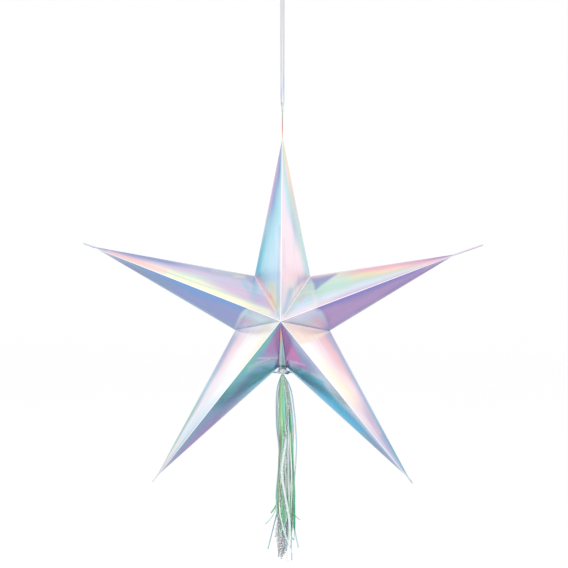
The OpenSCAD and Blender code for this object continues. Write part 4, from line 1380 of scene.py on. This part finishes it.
loose = [loose_line(*row) for row in LOOSE]
clear_lines = np.concatenate([clear_lines, np.stack([line for line, t in loose])])
clear_down = np.concatenate([clear_down, np.stack([t for line, t in loose])])
clear_tones = strip_tones(["water", "frost", "ice_blue", "glass", "turquoise"], len(clear_lines),
                          clear_down, 0.5)
clear_facing = strip_facing(len(clear_lines), clear_down)
clear_facing[-2:] = (1.0, 0.0, 0.0)
clear_widths = np.concatenate([np.full(24, 0.0022), np.full(4, 0.0021), [0.0036, 0.0019]])[:, None]
clear_tones[-2:] = shade("frost_strip")
clear_tones[24:28] = np.stack([shade("fog"), shade("silver"), shade("fog"), shade("aqua")])[:, None]
clear_facing[24:28] = (0.85, 0.5, 0.0)
clear_strips = make_strips("clear_film_strips_piece", clear_lines, clear_widths, clear_facing,
                           clear_tones, clear_strip_film)
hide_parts("clear_strips")
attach(clear_strips, "tassel")

# %% Silver strips
SILVER_ROWS = 420
# The silver hangs as one narrow strand that crosses the front: its middle and half width, in mm
SILVER_AT = [0, 0.03, 0.083, 0.15, 0.25, 0.33, 0.42, 0.52, 0.6, 0.7, 0.76, 0.83, 1.0]
SILVER_MID = [0.2, 1.8, 5.2, 8.0, 7.1, 4.1, 3.6, 3.2, 0.6, 0.3, -1.7, -1.7, 0.6]
SILVER_HALF = [0.6, 1.0, 1.6, 1.6, 1.5, 1.7, 2.0, 2.4, 3.2, 4.0, 5.2, 7.2, 4.6]
silver_lines, silver_down = tassel_lines(18, SILVER_ROWS, 240, 120, 0.93)
silver_share = rng.permutation(np.linspace(-1, 1, 18))[:, None]
silver_wave = np.sin(2 * math.pi * (6 * silver_down + rng.uniform(0, 1, (18, 1))))
silver_mid = np.interp(silver_down, SILVER_AT, SILVER_MID) + silver_share * np.interp(
    silver_down, SILVER_AT, SILVER_HALF)
silver_front = -DEPTH_SHARE * np.interp(silver_down, SPREAD_AT, SPREAD_MM)
silver_front = silver_front * (0.85 + 0.12 * silver_share ** 2)
silver_lines[..., 0] = 0.001 * (silver_mid + 0.9 * silver_wave * smoothstep(0.1, 0.9, silver_down))
silver_lines[..., 1] = 0.001 * silver_front
silver_lines[..., 2] -= 0.0006 * (1 - smoothstep(0.0, 0.05, silver_down))
silver_lines = flare(silver_lines, silver_down, [0, 4, 9, 13], [-0.005, 0.006, -0.003, 0.004], 0.9)
CRIMP_PITCH = 0.0042
crimp_turn = silver_down * TASSEL_DROP / CRIMP_PITCH * 2 * math.pi
crimp = 0.0003 * np.sin(crimp_turn + rng.uniform(0, 6.3, (18, 1)))
fray = smoothstep(0.8, 1.0, silver_down / silver_down[:, -1:])
crimp = crimp * (1 + 5.0 * fray)
silver_lines[..., 0] += crimp
silver_lines[..., 1] += 0.6 * crimp
silver_strips = make_strips(
    "silver_foil_strips", silver_lines, 0.00105, strip_facing(18, silver_down, 3.0),
    strip_tones(["tin", "bright_tin", "dark_tin"], 18, silver_down, 0.2), silver_foil)
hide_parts("silver_strips")
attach(silver_strips, "tassel")
print("tassel faces", sum(len(o.data.polygons) for o in
                          (green_strips, mint_strips, clear_strips, silver_strips)))
